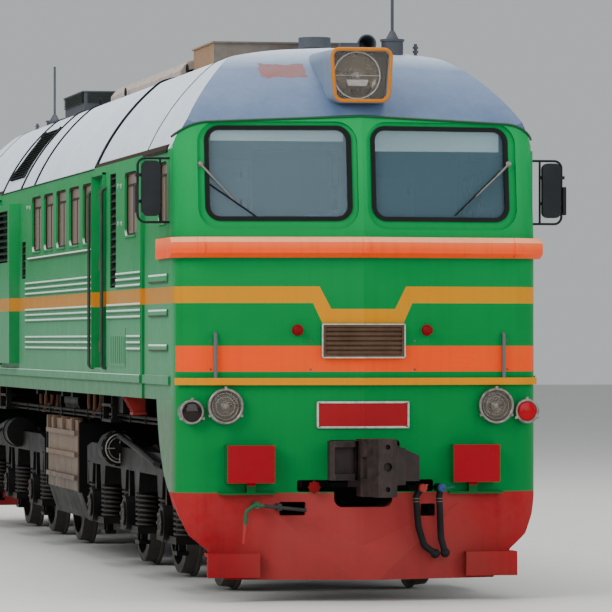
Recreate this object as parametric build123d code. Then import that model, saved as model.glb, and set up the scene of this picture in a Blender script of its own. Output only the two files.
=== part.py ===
from build123d import *
import os
from math import cos, radians, sin

# Six-axle diesel locomotive with a driving cab at each end, 1520 mm gauge.
# Millimetres: +X right, +Y towards the rear, +Z up. Heights are above the rail
# head, and save() lifts every piece by the flange depth, so that the flanges
# stand on Z = 0. Places along the body are stations, measured back from the
# front nose tip; at() turns one into Y.

# overall sizes
nose_half = 1475.0        # half width of the cab noses
body_half = 1498.0        # half width of the main body side
half_length = 8200.0      # middle of the body to a nose tip
flange_depth = 28.0
wall = 60.0               # thickness of body sides, noses and roof
bow = 0.144               # how far the nose slopes back per mm of width
nose_corner = 280.0       # plan radius of the nose corners
haunch_radius = 240.0     # of the bend between the roof's shoulder and its crown

# heights
plough_bottom = 145.0
paint_line = 827.0        # green nose above, red pilot below
valance_low = 1554.0
floor_low = 1690.0
floor_top = 1747.0
visor_low, visor_top = 2683.0, 2845.0
cantrail = 3554.0
brow = 3804.0             # top of the windscreen wall at the middle
brow_side = 3757.0        # the same at brow_corner
brow_corner = 1205.0
crown = 4435.0
rake = 120.0              # how far the windscreen wall leans back up to the brow
ridge_station = 1600.0    # where the cab dome runs into the level roof

# stations along the body
nose_back = 455.0
step_front = 1841.0       # main side steps out here
cooler_front, cooler_back = 10157.0, 11711.0
cooler_box_back = 11600.0
door_front, door_back = 3977.0, 4669.0
door_low, door_top = 1788.0, 3475.0
bogie_station = 3900.0
wheelbase = 2100.0

axle_height = 525.0


def at(station):
    return station - half_length


def from_rear(start, end):
    # a pair of stations measured from the other end
    return 2 * half_length - end, 2 * half_length - start


def block(x, y, z):
    # a box between two values on each axis
    low = (min(x), min(y), min(z))
    size = [max(pair) - min(pair) for pair in (x, y, z)]
    middle = [low[axis] + size[axis] / 2 for axis in range(3)]
    return Pos(*middle) * Box(*size)


def both_sides(piece):
    return [piece, mirror(piece, Plane.YZ)]


def both_ends(piece):
    # the front piece, and the same at the rear, turned half round
    return [piece, Rot(0, 0, 180) * piece]


def rod(start, end, radius):
    start, end = Vector(*start), Vector(*end)
    along = end - start
    return Solid.make_cylinder(radius, along.length, Plane(origin=start, z_dir=along))


def upright(x, y, z_from, z_to, radius):
    return rod((x, y, z_from), (x, y, z_to), radius)


def bent(points, radius, bend=40.0):
    # a round bar through the points, rounded off at its corners
    path = FilletPolyline(*points, radius=bend)
    start = Plane(origin=path @ 0, z_dir=path % 0)
    return sweep(start * Circle(radius), path)


def along_y(outline, y_from, y_to):
    # outline in X and Z, drawn out from y_from to y_to
    return Solid.extrude(face_of(Plane.XZ.offset(-y_from) * outline), Vector(0, y_to - y_from, 0))


def along_x(outline, x_from, x_to):
    # outline in Y and Z, drawn out from x_from to x_to
    return Solid.extrude(face_of(Plane.YZ.offset(x_from) * outline), Vector(x_to - x_from, 0, 0))


def along_z(outline, z_from, z_to):
    return Solid.extrude(face_of(Plane.XY.offset(z_from) * outline), Vector(0, 0, z_to - z_from))


def face_of(outline):
    return outline.faces()[0]


def rounded(width, height, radius, x=0.0, z=0.0):
    return Pos(x, z) * RectangleRounded(width, height, radius)


def largest(piece):
    return max(solids_of(piece), key=lambda solid: solid.volume)


def solids_of(pieces):
    found = []
    for piece in pieces if isinstance(pieces, (list, tuple)) else [pieces]:
        if isinstance(piece, (list, tuple)):
            found.extend(solids_of(piece))
        else:
            found.extend(piece.solids())
    return found


def fuse(*pieces):
    found = solids_of(pieces)
    if len(found) == 1:
        return found[0]
    return found[0].fuse(*found[1:])


def cut(piece, *tools):
    return piece.cut(*solids_of(tools))


os.makedirs("parts", exist_ok=True)


def save(name, *pieces):
    lifted = [Pos(0, 0, flange_depth) * solid for solid in solids_of(pieces)]
    whole = lifted[0] if len(lifted) == 1 else Compound(children=lifted)
    export_step(whole, f"parts/{name}.step")


# Shape of the body shell

def section(inset, low=1000.0):
    # cross section of body and roof: sides, shoulder arcs, rounded haunches and crown
    half = nose_half - inset
    shoulder = (1170 - 0.80 * inset, 4055 - 0.60 * inset)
    haunch = (888 - 0.45 * inset, 4332 - 0.92 * inset)
    top = (0, crown - inset)
    right = [
        Line((half, low), (half, cantrail)),
        ThreePointArc((half, cantrail), shoulder, haunch),
    ]
    left = [mirror(edge, Plane.YZ) for edge in right]
    crown_arc = ThreePointArc(haunch, top, (-haunch[0], haunch[1]))
    foot = Line((-half, low), (half, low))
    outline = make_face(right + [crown_arc] + left + [foot])
    bends = [spot for spot in outline.vertices() if spot.Y > cantrail + 100]
    return fillet(bends, haunch_radius - inset)


def plan(inset, back=2400.0):
    # plan of a nose: shallow V with rounded corners, open towards the back
    half = nose_half - inset
    corner = inset + bow * half
    outline = Polygon(
        (0, inset), (half, corner), (half, back), (-half, back), (-half, corner), align=None
    )
    corners = [spot for spot in outline.vertices() if abs(spot.Y - corner) < 1]
    return Pos(0, -half_length) * fillet(corners, nose_corner - inset)


def nose_volume(inset):
    # everything inside the front end, up to the ridge of the dome; the dome falls to the
    # sides as its brow does, and spare keeps its ridge clear of the roof's own curve
    spare = 3.0
    low_z, high_z = 100.0, 4600.0
    lower = Solid.extrude(face_of(Pos(0, 0, low_z) * plan(inset)), Vector(0, 0, visor_top - low_z))
    lean = rake * (high_z - visor_top) / (brow - visor_top)
    upper = Solid.extrude(
        face_of(Pos(0, 0, visor_top) * plan(inset)), Vector(0, lean, high_z - visor_top)
    )
    front = at(rake + inset)
    ridge = at(ridge_station)
    top = crown + spare - inset
    dome = TangentArc((ridge, top), (front, brow - 0.4 * inset), tangent=(-1, 0))
    start = dome @ 1
    rest = Polyline(
        (start.X, start.Y), (at(-700), brow - 0.4 * inset), (at(-700), 0),
        (at(2400), 0), (at(2400), top), (ridge, top),
    )
    side_view = face_of(Plane.YZ * make_face([dome, rest]))
    reach = 1600.0
    brow_fall = (brow - brow_side) / brow_corner
    right = Solid.extrude(side_view, Vector(reach, bow * reach, -brow_fall * reach))
    left = mirror(right, Plane.YZ)
    across = along_y(section(inset, 0.0), at(-800), at(2300))
    return fuse(lower, upper) & fuse(right, left) & across


def below_brow():
    # the green front ends under this line, which falls to the cantrail at the corners
    flat = Line((-brow_corner, brow_side), (0, brow))
    flat_right = Line((0, brow), (brow_corner, brow_side))
    drop = ThreePointArc((brow_corner, brow_side), (1408, 3690), (1560, 3500))
    rest = Polyline((1560, 3500), (1560, 0), (-1560, 0), (-1560, 3500))
    edges = [flat, flat_right, drop, mirror(drop, Plane.YZ), rest]
    return along_y(make_face(edges), at(-800), at(1300))


outer_nose = nose_volume(0.0)
inner_nose = nose_volume(wall)
shell = cut(outer_nose, inner_nose)
brow_cut = below_brow()

ahead = at(-700)
wide = 1700.0

# Noses: green fronts with windscreen openings, skirts curving back below the floor

screen_low, screen_top = 2973.0, 3732.0
screen_inner, screen_outer = 78.0, 1232.0
bevel_low, bevel_top = 2907.0, 3763.0
bevel_inner, bevel_outer = 36.0, 1290.0
bevel_depth = 34.0

skirt_arc = ThreePointArc((at(1190), valance_low), (at(994), 1150), (at(550), paint_line))
nose_side = make_face([
    skirt_arc,
    Polyline((at(550), paint_line), (ahead, paint_line), (ahead, 4500), (at(nose_back), 4500),
             (at(nose_back), valance_low), (at(1190), valance_low)),
])

# openings low on the nose: X from, X to, low, top, corner radius
nose_gaps = [(-287.0, 294.0, 885.0, 1244.0, 30.0), (-236.0, 236.0, 713.0, 960.0, 70.0),
             (-526.0, 573.0, 836.0, 929.0, 20.0), (-665.0, -456.0, 650.0, 757.0, 15.0),
             (468.0, 592.0, 639.0, 737.0, 15.0)]


def front_window(low, top, inner, outer, corner):
    # a rounded opening of the right-hand screen, seen from the front
    width, height = outer - inner, top - low
    return rounded(width, height, corner, inner + width / 2, low + height / 2)


def face_layer(start, end):
    # a slab parallel to the leaning right-hand windscreen face, from start to end behind it
    lean = rake / (brow - visor_top)
    low_z, high_z = visor_top - 200, brow + 200
    shift = [lean * (z - visor_top) for z in (low_z, high_z)]
    outline = Polygon(
        (at(start + shift[0]), low_z), (at(end + shift[0]), low_z),
        (at(end + shift[1]), high_z), (at(start + shift[1]), high_z), align=None
    )
    return Solid.extrude(face_of(Plane.YZ * outline), Vector(wide, bow * wide, 0))


def on_windscreen(outline, start, end):
    # the outline carried straight back through that slab
    return along_y(outline, ahead, at(1200)) & face_layer(start, end)


bevels, screens = [], []
for low, top, inner, outer, corner, depth, found in (
    (bevel_low, bevel_top, bevel_inner, bevel_outer, 170.0, bevel_depth, bevels),
    (screen_low, screen_top, screen_inner, screen_outer, 120.0, 400.0, screens),
):
    outline = front_window(low, top, inner, outer, corner)
    found.extend(both_sides(on_windscreen(outline, -150.0, depth)))

gap_cuts = [along_y(rounded(right - left, top - low, corner, (left + right) / 2, (low + top) / 2),
                    ahead, at(600)) for left, right, low, top, corner in nose_gaps]
nose_front = cut(shell & brow_cut & along_x(nose_side, -wide, wide), bevels, screens, gap_cuts)
noses = both_ends(nose_front)
save("nose_front", noses[0])
save("nose_rear", noses[1])

# Windscreens and their gaskets

glass, rubber = [], []
gasket_width = 36.0
for edge, start, end, found in ((gasket_width, 52.0, 62.0, glass), (0.0, 24.0, 64.0, rubber)):
    outline = front_window(screen_low + edge, screen_top - edge, screen_inner + edge,
                           screen_outer - edge, 120.0 - edge)
    piece = on_windscreen(outline, start, end)
    if found is rubber:
        hole = front_window(screen_low + gasket_width, screen_top - gasket_width,
                            screen_inner + gasket_width, screen_outer - gasket_width,
                            120.0 - gasket_width)
        piece = cut(piece, on_windscreen(hole, -100.0, 300.0))
    found.extend(both_sides(fuse(piece)))
save("windscreens", [both_ends(piece) for piece in glass])
save("windscreen_gaskets", [both_ends(piece) for piece in rubber])

# Cab domes and the roof over the body

dome_back = 1800.0
eave = block((-wide, wide), (ahead, at(dome_back)), (cantrail, 4600))
dome = cut(shell & block((-wide, wide), (ahead, at(dome_back)), (3400, 4600)), brow_cut)
side_strip = shell & block((-wide, wide), (at(nose_back), at(dome_back)), (cantrail, 4600))
dome_front = solids_of(fuse(dome, side_strip) & eave)
save("cab_roofs", both_ends(fuse(dome_front)))


def roof_length(station_from, station_to, outset=0.0, inset=wall):
    ring = cut(along_y(section(-outset), at(station_from), at(station_to)),
               along_y(section(inset), at(station_from - 1), at(station_to + 1)))
    return ring & block((-wide, wide), (at(station_from), at(station_to)), (cantrail, 4700))


engine_roof = fuse(roof_length(dome_back, cooler_front))
rear_roof = fuse(roof_length(cooler_back, 2 * half_length - dome_back))
save("engine_roof", engine_roof, rear_roof)

cooler_roof = fuse(roof_length(cooler_front, cooler_back))


# Body sides: openings cut through, beads and sill ledge raised on them

# cab windows: station from, station to, low, top, half width of the wall there
cab_windows = [(640.0, 1110.0, 2973.0, 3462.0, nose_half),
               (2133.0, 2824.0, 2913.0, 3445.0, body_half)]
window_pitch, window_length = 921.0, 713.0
machine_windows = [(4740.0 + window_pitch * number, 4740.0 + window_pitch * number + window_length,
                    2904.0, 3438.0, body_half) for number in range(5)]
rear_cab_windows = [(*from_rear(start, end), low, top, half)
                    for start, end, low, top, half in cab_windows]
side_windows = cab_windows + rear_cab_windows + machine_windows
doorways = [(door_front, door_back), from_rear(door_front, door_back)]
# louvred slots: station from, station to, low, top
slots = [(3333.0, 3699.0, 2484.0, 3465.0), (9640.0, 9960.0, 2648.0, 3015.0),
         (*from_rear(3333.0, 3699.0), 2484.0, 3465.0)]
bead_pitch = 52.0
bead_size = (26.0, 12.0)                       # height, how far it stands out
# middle height of a group of three beads, the stations that it runs between
cab_beads = [(2539.0, 1870.0, 3290.0), (2277.0, 1870.0, 3830.0), (2009.0, 1870.0, 2660.0)]
bead_groups = cab_beads + [(height, *from_rear(start, end)) for height, start, end in cab_beads]
bead_groups += [(height, 4760.0, 9600.0) for height in (2539.0, 2277.0, 2009.0)]
# broad ribs on the narrower wall beside each nose: low, top
broad_ribs = [(2493.0, 2561.0), (2220.0, 2278.0), (1942.0, 1998.0)]
rib_run, rib_out = (570.0, 1530.0), 16.0
# small vent panel under the louvred slot: station from, to, low, top
vent_panel = (2740.0, 3640.0, 1807.0, 2134.0)
vent_flutes = 7
ledge_low, ledge_top, ledge_out = 1677.0, 1747.0, 22.0
# moulding under the long row of windows: station from, to, low, top, how far out
sill_moulding = (4740.0, 9350.0, 2820.0, 2846.0, 20.0)
cooler_slats = (10300.0, 11500.0, 2820.0, 3344.0)


def window_hole(station_from, station_to, low, top, radius=70.0):
    length, height = station_to - station_from, top - low
    outline = Pos(at((station_from + station_to) / 2), (low + top) / 2) * RectangleRounded(
        length, height, radius)
    return along_x(outline, 1300, wide)


step_back = 2 * half_length - step_front
ends = [(nose_back, step_front), from_rear(nose_back, step_front)]
side_plates = [block((body_half - wall, body_half), (at(step_front), at(step_back)),
                     (valance_low, cantrail))]
side_plates += [block((nose_half - wall, nose_half), (at(start), at(end)), (valance_low, cantrail))
                for start, end in ends]
ledges = [block((body_half - 1, body_half + ledge_out), (at(step_front), at(step_back)),
                (ledge_low, ledge_top))]
ledges += [block((nose_half - 1, nose_half + ledge_out), (at(start), at(end)),
                 (ledge_low, ledge_top)) for start, end in ends]
ledges.append(block((body_half - 1, body_half + sill_moulding[4]),
                    (at(sill_moulding[0]), at(sill_moulding[1])), sill_moulding[2:4]))
side_holes = [window_hole(*window[:4]) for window in side_windows]
side_holes += [block((1300, wide), (at(start), at(end)), (low, top))
               for start, end, low, top in slots]
side_holes += [block((1300, wide), (at(start), at(end)), (door_low, door_top))
               for start, end in doorways]
slat_run = (at(cooler_slats[0]), at(cooler_slats[1]))
side_holes.append(block((1300, wide), slat_run, cooler_slats[2:]))
side_right = cut(fuse(side_plates, ledges), side_holes)
beads = [block((body_half - 1, body_half + bead_size[1]), (at(start), at(end)),
               (middle + step * bead_pitch - bead_size[0] / 2,
                middle + step * bead_pitch + bead_size[0] / 2))
         for middle, start, end in bead_groups for step in (-1, 0, 1)]
for start, end in (rib_run, from_rear(*rib_run)):
    beads += [block((nose_half - 1, nose_half + rib_out), (at(start), at(end)), pair)
              for pair in broad_ribs]
for start, end in (vent_panel[:2], from_rear(*vent_panel[:2])):
    beads.append(block((body_half - 1, body_half + 6), (at(start), at(end)), vent_panel[2:]))
    flute_pitch = (end - start) / vent_flutes
    beads += [block((body_half, body_half + 14), (at(start + flute_pitch * (number + 0.35)),
                                                 at(start + flute_pitch * (number + 0.65))),
                    (vent_panel[2] + 30, vent_panel[3] - 70)) for number in range(vent_flutes)]
side_right = fuse(side_right, beads)
sides = both_sides(side_right)
save("side_right", sides[0])
save("side_left", sides[1])

# Side window panes, standing in the middle of the wall's thickness

pane_depth, pane_thickness = 38.0, 8.0
panes = []
for start, end, low, top, half in side_windows:
    pane_x = (half - pane_depth, half - pane_depth + pane_thickness)
    slab = block(pane_x, (at(start), at(end)), (low, top))
    panes += both_sides(fuse(window_hole(start, end, low, top) & slab))
save("side_windows", panes)

# Slot louvres: slats turned down and outwards inside each slot

slat_pitch, slat_thickness, slat_drop = 62.0, 5.0, 40.0
stile = 14.0


def louvre(station_from, station_to, low, top, x_inner, x_outer):
    # a bank of slats between two stiles
    count = int((top - low) // slat_pitch)
    pieces = []
    for number in range(count):
        z = low + (number + 0.35) * (top - low) / count
        outline = Polygon(
            (x_inner, z + slat_drop), (x_outer, z), (x_outer, z - slat_thickness),
            (x_inner, z + slat_drop - slat_thickness), align=None
        )
        pieces.append(along_y(outline, at(station_from), at(station_to)))
    for start in (station_from, station_to - stile):
        pieces.append(block((x_inner, x_outer), (at(start), at(start + stile)), (low, top)))
    return fuse(pieces)


louvres = [louvre(*slot, body_half - 52, body_half - 6) for slot in slots]

# Cooler box on each side, standing out of the wall, with its own louvre

box_out = 104.0
box_wall = 30.0
box_low, box_top = 1800.0, 3412.0
cooler_box = block((body_half, body_half + box_out), (at(cooler_front), at(cooler_box_back)),
                   (box_low, box_top))
cooler_box = cut(cooler_box, block((body_half - 10, body_half + box_out - box_wall),
                                   (at(cooler_front + box_wall), at(cooler_box_back - box_wall)),
                                   (box_low + box_wall, box_top - box_wall)))
cooler_box = cut(cooler_box, block((body_half, wide), slat_run, cooler_slats[2:]))
save("cooler_boxes", both_sides(cooler_box))
louvres.append(louvre(*cooler_slats, body_half + 40, body_half + box_out - 4))
save("side_louvres", [both_sides(piece) for piece in louvres])


# Pilot: the nose carried down, with a ploughshare standing out of it

pilot_view = Polyline(
    (1475, paint_line), (1430, 645), (1360, 490), (1225, 374), (1080, plough_bottom),
    (-1080, plough_bottom), (-1225, 374), (-1360, 490), (-1430, 645), (-1475, paint_line),
    close=True,
)
pilot_side = Polygon((ahead, 100), (at(330), 100), (at(400), 374), (at(550), paint_line),
                     (ahead, paint_line), align=None)
pilot_wall = cut(nose_volume(0.0), nose_volume(30.0))
pilot_wall = pilot_wall & along_y(make_face(pilot_view), ahead, at(900)) \
    & along_x(pilot_side, -wide, wide)


def share():
    # corners of the ploughshare's facets
    top_x, top_z, top_y = 800.0, 750.0, at(bow * 800.0)
    foot_x, foot_z = 1080.0, plough_bottom
    foot_y = at(bow * foot_x)
    tip_x, tip_y = 100.0, at(-90.0)
    upper = [(-top_x, top_y, top_z), (top_x, top_y, top_z)]
    lower = [(tip_x, tip_y, foot_z), (-tip_x, tip_y, foot_z)]
    feet = [(-foot_x, foot_y, foot_z), (foot_x, foot_y, foot_z)]
    facets = [
        [upper[0], upper[1], lower[0], lower[1]],
        [upper[0], lower[1], feet[0]],
        [upper[1], feet[1], lower[0]],
        [lower[0], feet[1], feet[0], lower[1]],
        [upper[0], feet[0], feet[1], upper[1]],
    ]
    return Solid(Shell([make_face(Polyline(*facet, close=True)).face() for facet in facets]))


# steps at the pilot's foot, each with a ribbed apron under its front edge
pilot_steps = [both_sides(block((830, 1245), (at(20), at(210)), (330, 356))),
               both_sides(block((830, 1245), (at(20), at(34)), (165, 340)))]
pilot_steps += [both_sides(block((x, x + 24), (at(30), at(120)), (165, 340)))
                for x in (835, 1025, 1215)]
pilot_front = cut(fuse(pilot_wall, share(), pilot_steps), gap_cuts)
pilots = both_ends(pilot_front)
save("pilot_front", pilots[0])
save("pilot_rear", pilots[1])

# Orange sun visor across each nose, with a faceted edge and long flat returns

visor_out, visor_edge = 105.0, 45.0
visor_half, visor_back = 1505.0, 1050.0
# height, how far out
visor_shape = [(visor_low, visor_out - visor_edge), (visor_low + 36, visor_out),
               (visor_top - 40, visor_out), (visor_top, visor_out - visor_edge)]


def band(low, top, low_out, top_out, half, back):
    # a band round the nose, standing out by low_out at its foot and top_out at its head,
    # cut off flat at half and ending at the station back
    low_face = Pos(0, 0, low) * plan(-low_out)
    top_face = Pos(0, 0, top) * plan(-top_out)
    if low_out == top_out:
        outer = Solid.extrude(face_of(low_face), Vector(0, 0, top - low))
    else:
        outer = loft([face_of(low_face), face_of(top_face)], ruled=True)
    inner = Solid.extrude(face_of(Pos(0, 0, low) * plan(0.0)), Vector(0, 0, top - low))
    return cut(outer, inner) & block((-half, half), (ahead, at(back)), (low, top))


visor_bands = [band(low, top, low_out, top_out, visor_half, visor_back)
               for (low, low_out), (top, top_out) in zip(visor_shape, visor_shape[1:])]
save("visors", both_ends(fuse(visor_bands)))

# Ledge under the orange stripe

ledge_half, ledge_back = 1482.0, 290.0
nose_ledge = fuse(band(1678.0, 1733.0, 40.0, 40.0, ledge_half, ledge_back))
save("nose_ledges", both_ends(nose_ledge))

# Ventilation grille in the middle of each nose

grille_half, grille_low, grille_top = 333.0, 1893.0, 2159.0


def nose_plate(outline, out, depth=20.0):
    # an outline in X and Z standing out of the V face by out, carried depth into it
    near, far = -out, depth
    slab = Polygon((at(near), 0), (at(far), 0), (at(far), 2800), (at(near), 2800), align=None)
    right = Solid.extrude(face_of(Plane.YZ * slab), Vector(wide, bow * wide, 0))
    slabs = fuse(right, mirror(right, Plane.YZ))
    return along_y(outline, ahead, at(1200)) & slabs


grille_frame = cut(
    fuse(nose_plate(rounded(2 * grille_half, grille_top - grille_low, 30, 0,
                            (grille_low + grille_top) / 2), 34.0, 0.0)),
    nose_plate(rounded(2 * grille_half - 50, grille_top - grille_low - 50, 12, 0,
                       (grille_low + grille_top) / 2), 60.0, -8.0))
grille_bars = [fuse(nose_plate(rounded(2 * grille_half - 40, 22, 8, 0, grille_low + 40 + 37 * n),
                               26.0, -6.0)) for n in range(6)]
nose_grille = fuse(grille_frame, grille_bars)
save("nose_grilles", both_ends(nose_grille))

# Boxes low on the nose, each on a bracket bar

box_x, box_z = (720.0, 1095.0), (908.0, 1205.0)
nose_boxes = []
for sign in (-1, 1):
    x_pair = (sign * box_x[0], sign * box_x[1])
    body_box = cut(block(x_pair, (at(-20), at(200)), box_z), outer_nose)
    lip = block((sign * 700, sign * 1140), (at(60), at(220)), (815, 833))
    neck = block((sign * 860, sign * 930), (at(60), at(220)), (830, 912))
    nose_boxes.append(cut(fuse(body_box, neck, lip), outer_nose))
save("nose_boxes", [both_ends(piece) for piece in nose_boxes])

# Lamps on the nose: bowls in ringed housings

# distance from the middle, height, radius, station of its front, depth
nose_lamp_table = [(1092.0, 1510.0, 142.0, 95.0, 130.0), (1353.0, 1466.0, 98.0, 142.0, 240.0)]


def lamp(x, z, radius, front_station, depth):
    # a ringed housing with a bowl hollowed in it, facing forwards
    rim = 12.0
    profile = Polyline(
        (0, depth), (radius - 8, depth), (radius - 8, 26), (radius, 20), (radius, 0),
        (radius - rim, 0), (radius - rim - 6, 14), (radius * 0.45, 52), (0, 60), close=True,
    )
    spun = revolve(Plane.XZ * make_face(profile), Axis.Z, 360)
    turned = Rot(-90, 0, 0) * spun
    return Pos(x, at(front_station), z) * turned


nose_lamps = []
for x, z, radius, front, depth in nose_lamp_table:
    piece = lamp(x, z, radius, front, depth)
    nose_lamps += both_sides(cut(fuse(piece), outer_nose))
save("nose_lamps", [both_ends(piece) for piece in nose_lamps])

# Headlamp standing out of each dome, with its fairing

lamp_low, lamp_top = 3917.0, 4345.0
lamp_half_top, lamp_half_low = 252.0, 224.0
lamp_front, lamp_back = 120.0, 1100.0
rim_width, rim_out = 26.0, 24.0
reflector_x, reflector_radius = -30.0, 186.0


def lamp_outline(grow, lift=0.0):
    outline = Polygon(
        (-lamp_half_low - grow, lamp_low - grow), (lamp_half_low + grow, lamp_low - grow),
        (lamp_half_top + grow, lamp_top + grow + lift),
        (-lamp_half_top - grow, lamp_top + grow + lift), align=None,
    )
    return fillet(outline.vertices(), 72.0 + grow)


fairing = loft([face_of(Plane.XZ.offset(-at(lamp_front)) * lamp_outline(0.0)),
                face_of(Plane.XZ.offset(-at(lamp_back)) * lamp_outline(40.0, -20.0))], ruled=True)
rim = cut(along_y(lamp_outline(6.0), at(lamp_front - rim_out), at(lamp_front + 20)),
          along_y(lamp_outline(-rim_width), at(lamp_front - 60), at(lamp_front + 60)))
bowl = along_y(lamp_outline(-rim_width), at(lamp_front - 20), at(lamp_front + 60))
reflector_cone = Cone(reflector_radius, 70, 130, align=(Align.CENTER, Align.CENTER, Align.MIN))
reflector = (Pos(reflector_x, at(lamp_front + 59), (lamp_low + lamp_top) / 2)
             * Rot(-90, 0, 0) * reflector_cone)
headlamp = largest(fuse(cut(fairing, outer_nose, bowl, reflector), rim))
save("headlamps", both_ends(headlamp))


# Raised hatch over the engine: an upright box in front, then arched lids with gaps between them

hatch_from, hatch_box_back, hatch_to = 3700.0, 4800.0, 9200.0
hatch_half, hatch_top = 600.0, 4617.0
hatch_low = 4150.0
hatch_sheet = 45.0
lid_thickness = 14.0
# corners of the arched part: distance from the middle, height
hatch_arch = [(705.0, 4440.0), (640.0, 4520.0), (350.0, 4606.0)]
# stations at which a lid starts, the last being the end
lid_stations = [4800.0, 5350.0, 5900.0, 6560.0, 7220.0, 7880.0, 8540.0, hatch_to]
lid_gap = 24.0


def arch_outline(inset):
    # the arched part seen along the body
    right = [(x - inset, z - inset * (z > hatch_arch[0][1])) for x, z in hatch_arch]
    right.insert(0, (right[0][0], hatch_low))
    left = [(-x, z) for x, z in reversed(right)]
    return Polygon(*right, *left, align=None)


box_half = hatch_half - lid_thickness
hatch_box = block((-box_half, box_half), (at(hatch_from), at(hatch_box_back)), (hatch_low, hatch_top))
box_room = block((hatch_sheet - box_half, box_half - hatch_sheet),
                 (at(hatch_from + hatch_sheet), at(hatch_box_back + hatch_sheet)),
                 (hatch_low, hatch_top - hatch_sheet))
arch = along_y(arch_outline(lid_thickness), at(hatch_box_back), at(hatch_to))
arch_room = along_y(arch_outline(lid_thickness + hatch_sheet), at(hatch_box_back - 1),
                    at(hatch_to - hatch_sheet))
lids = [cut(along_y(arch_outline(0.0), at(start + lid_gap / 2), at(end - lid_gap / 2)),
            along_y(arch_outline(lid_thickness), at(start), at(end)))
        for start, end in zip(lid_stations, lid_stations[1:])]
lids.append(block((-hatch_half, hatch_half), (at(hatch_from - 24), at(hatch_box_back + 30)),
                  (hatch_top, hatch_top + lid_thickness)))
roof_body = along_y(section(0.0), at(hatch_from - 60), at(hatch_to + 60))
hatch = cut(fuse(hatch_box, arch, lids), fuse(box_room, arch_room), roof_body)
save("roof_hatch", largest(hatch))

# Fan housing on the cooler roof: a low box round a ring, with a guard of bars over it

fan_station = 10940.0
fan_radius = 640.0
housing_half, housing_top = 830.0, 4550.0
housing = block((-housing_half, housing_half), (at(10200), at(11680)), (4240, housing_top))
well = upright(0, at(fan_station), 4000, 4900, fan_radius + 30)
fan_roof_body = along_y(section(0.0), at(10150), at(11720))
housing = cut(housing, well, fan_roof_body)

guard_place = Pos(0, at(fan_station), housing_top - 24)
guard = [guard_place * (Cylinder(ring_radius, 14) - Cylinder(ring_radius - 14, 16))
         for ring_radius in (fan_radius + 40, 440.0, 240.0)]
guard += [guard_place * Rot(0, 0, 30 * turn) * Box(2 * (fan_radius + 36), 22, 12)
          for turn in range(6)]
guard.append(guard_place * Cylinder(90, 20))
save("fan_housing", fuse(housing, guard))

# Cooling fan: hub with twisted blades on a short shaft

fan_height, blade_count, blade_twist = 4300.0, 6, 28.0
fan_place = Pos(0, at(fan_station), fan_height)
hub = fan_place * Cylinder(150, 200)
blades = [fan_place * Rot(0, 0, 360 / blade_count * turn) * Pos(360, 0, 0)
          * Rot(blade_twist, 0, 0) * Box(500, 190, 14) for turn in range(blade_count)]
save("fan_rotor", fuse(hub, blades))
drive_low, drive_top = 3900.0, 3960.0
fan_drive = fuse(upright(0, at(fan_station), 3910, 4190, 120),
                 [block((-760, 760), (at(fan_station + y), at(fan_station + y + 20)),
                        (drive_low, drive_top)) for y in (-60, 60)],
                 block((-140, 140), (at(fan_station - 60), at(fan_station + 80)),
                       (drive_low, drive_top)))
save("fan_drive", fan_drive)

# Haunch louvres: an opening through each shoulder of the cooler roof, filled with slats

haunch_from, haunch_to = 10350.0, 11550.0
haunch_tilt = 53.0
haunch_place = Pos(1245, at((haunch_from + haunch_to) / 2), 3952) * Rot(0, haunch_tilt, 0)
haunch_hole = haunch_place * Box(640, haunch_to - haunch_from, 330)
haunch_slats = [haunch_place * Pos(-296 + 37 * n, 0, -20) * Rot(0, -50, 0) * Box(
    46, haunch_to - haunch_from, 5) for n in range(17)]
haunch_stiles = [haunch_place * Pos(0, side * ((haunch_to - haunch_from) / 2 - 10), -20) * Box(
    636, 20, 44) for side in (-1, 1)]
save("roof_louvres", both_sides(fuse(haunch_slats, haunch_stiles)))
cooler_roof = cut(cooler_roof, both_sides(fuse(haunch_hole)), well)
save("cooler_roof", cooler_roof)

# Roof fittings: vent caps, horns, aerial bases with their masts, insulators

vent_station = 2100.0
horn_x, horn_station, horn_z = 266.0, 1200.0, 4454.0
aerial_x, aerial_station, aerial_base, aerial_top = 497.0, 1300.0, 4499.0, 5105.0
insulator_x = 692.0


def horn_cone(mouth_station, mouth_radius, throat_radius, length):
    cone = Cone(mouth_radius, throat_radius, length, align=(Align.CENTER, Align.CENTER, Align.MIN))
    return Pos(horn_x, at(mouth_station), horn_z) * Rot(-90, 0, 0) * cone


vent = fuse(upright(0, at(vent_station), 4380, 4540, 100),
            upright(0, at(vent_station), 4470, 4560, 135))
horn = fuse(cut(horn_cone(horn_station, 78, 34, 320), horn_cone(horn_station - 1, 66, 26, 240)),
            block((horn_x - 25, horn_x + 25), (at(horn_station + 200), at(horn_station + 320)),
                  (4330, horn_z)))
aerial_cone = Pos(aerial_x, at(aerial_station), aerial_base) * Cone(
    56, 20, 68, align=(Align.CENTER, Align.CENTER, Align.MIN))
# low, top, radius of each step of the aerial and of the insulator beside it
aerial_steps = [(4200, aerial_base - 18, 90), (aerial_base - 18, aerial_base, 100),
                (aerial_base + 60, aerial_top, 13)]
insulator_steps = [(4200, 4464, 14), (4390, 4408, 24), (4424, 4442, 24)]
aerial = fuse([upright(aerial_x, at(aerial_station), low, top, radius)
               for low, top, radius in aerial_steps], aerial_cone)
insulator = fuse([upright(insulator_x, at(aerial_station), low, top, radius)
                  for low, top, radius in insulator_steps])
plate = block((28, 169), (at(1110), at(1190)), (4300, 4455))
fittings = [largest(cut(piece, outer_nose)) for piece in (vent, horn, aerial, insulator, plate)]
save("roof_fittings", [both_ends(piece) for piece in fittings])


# Underframe: deck, centre sills, bolsters with their pins, cross members, draft boxes

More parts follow.
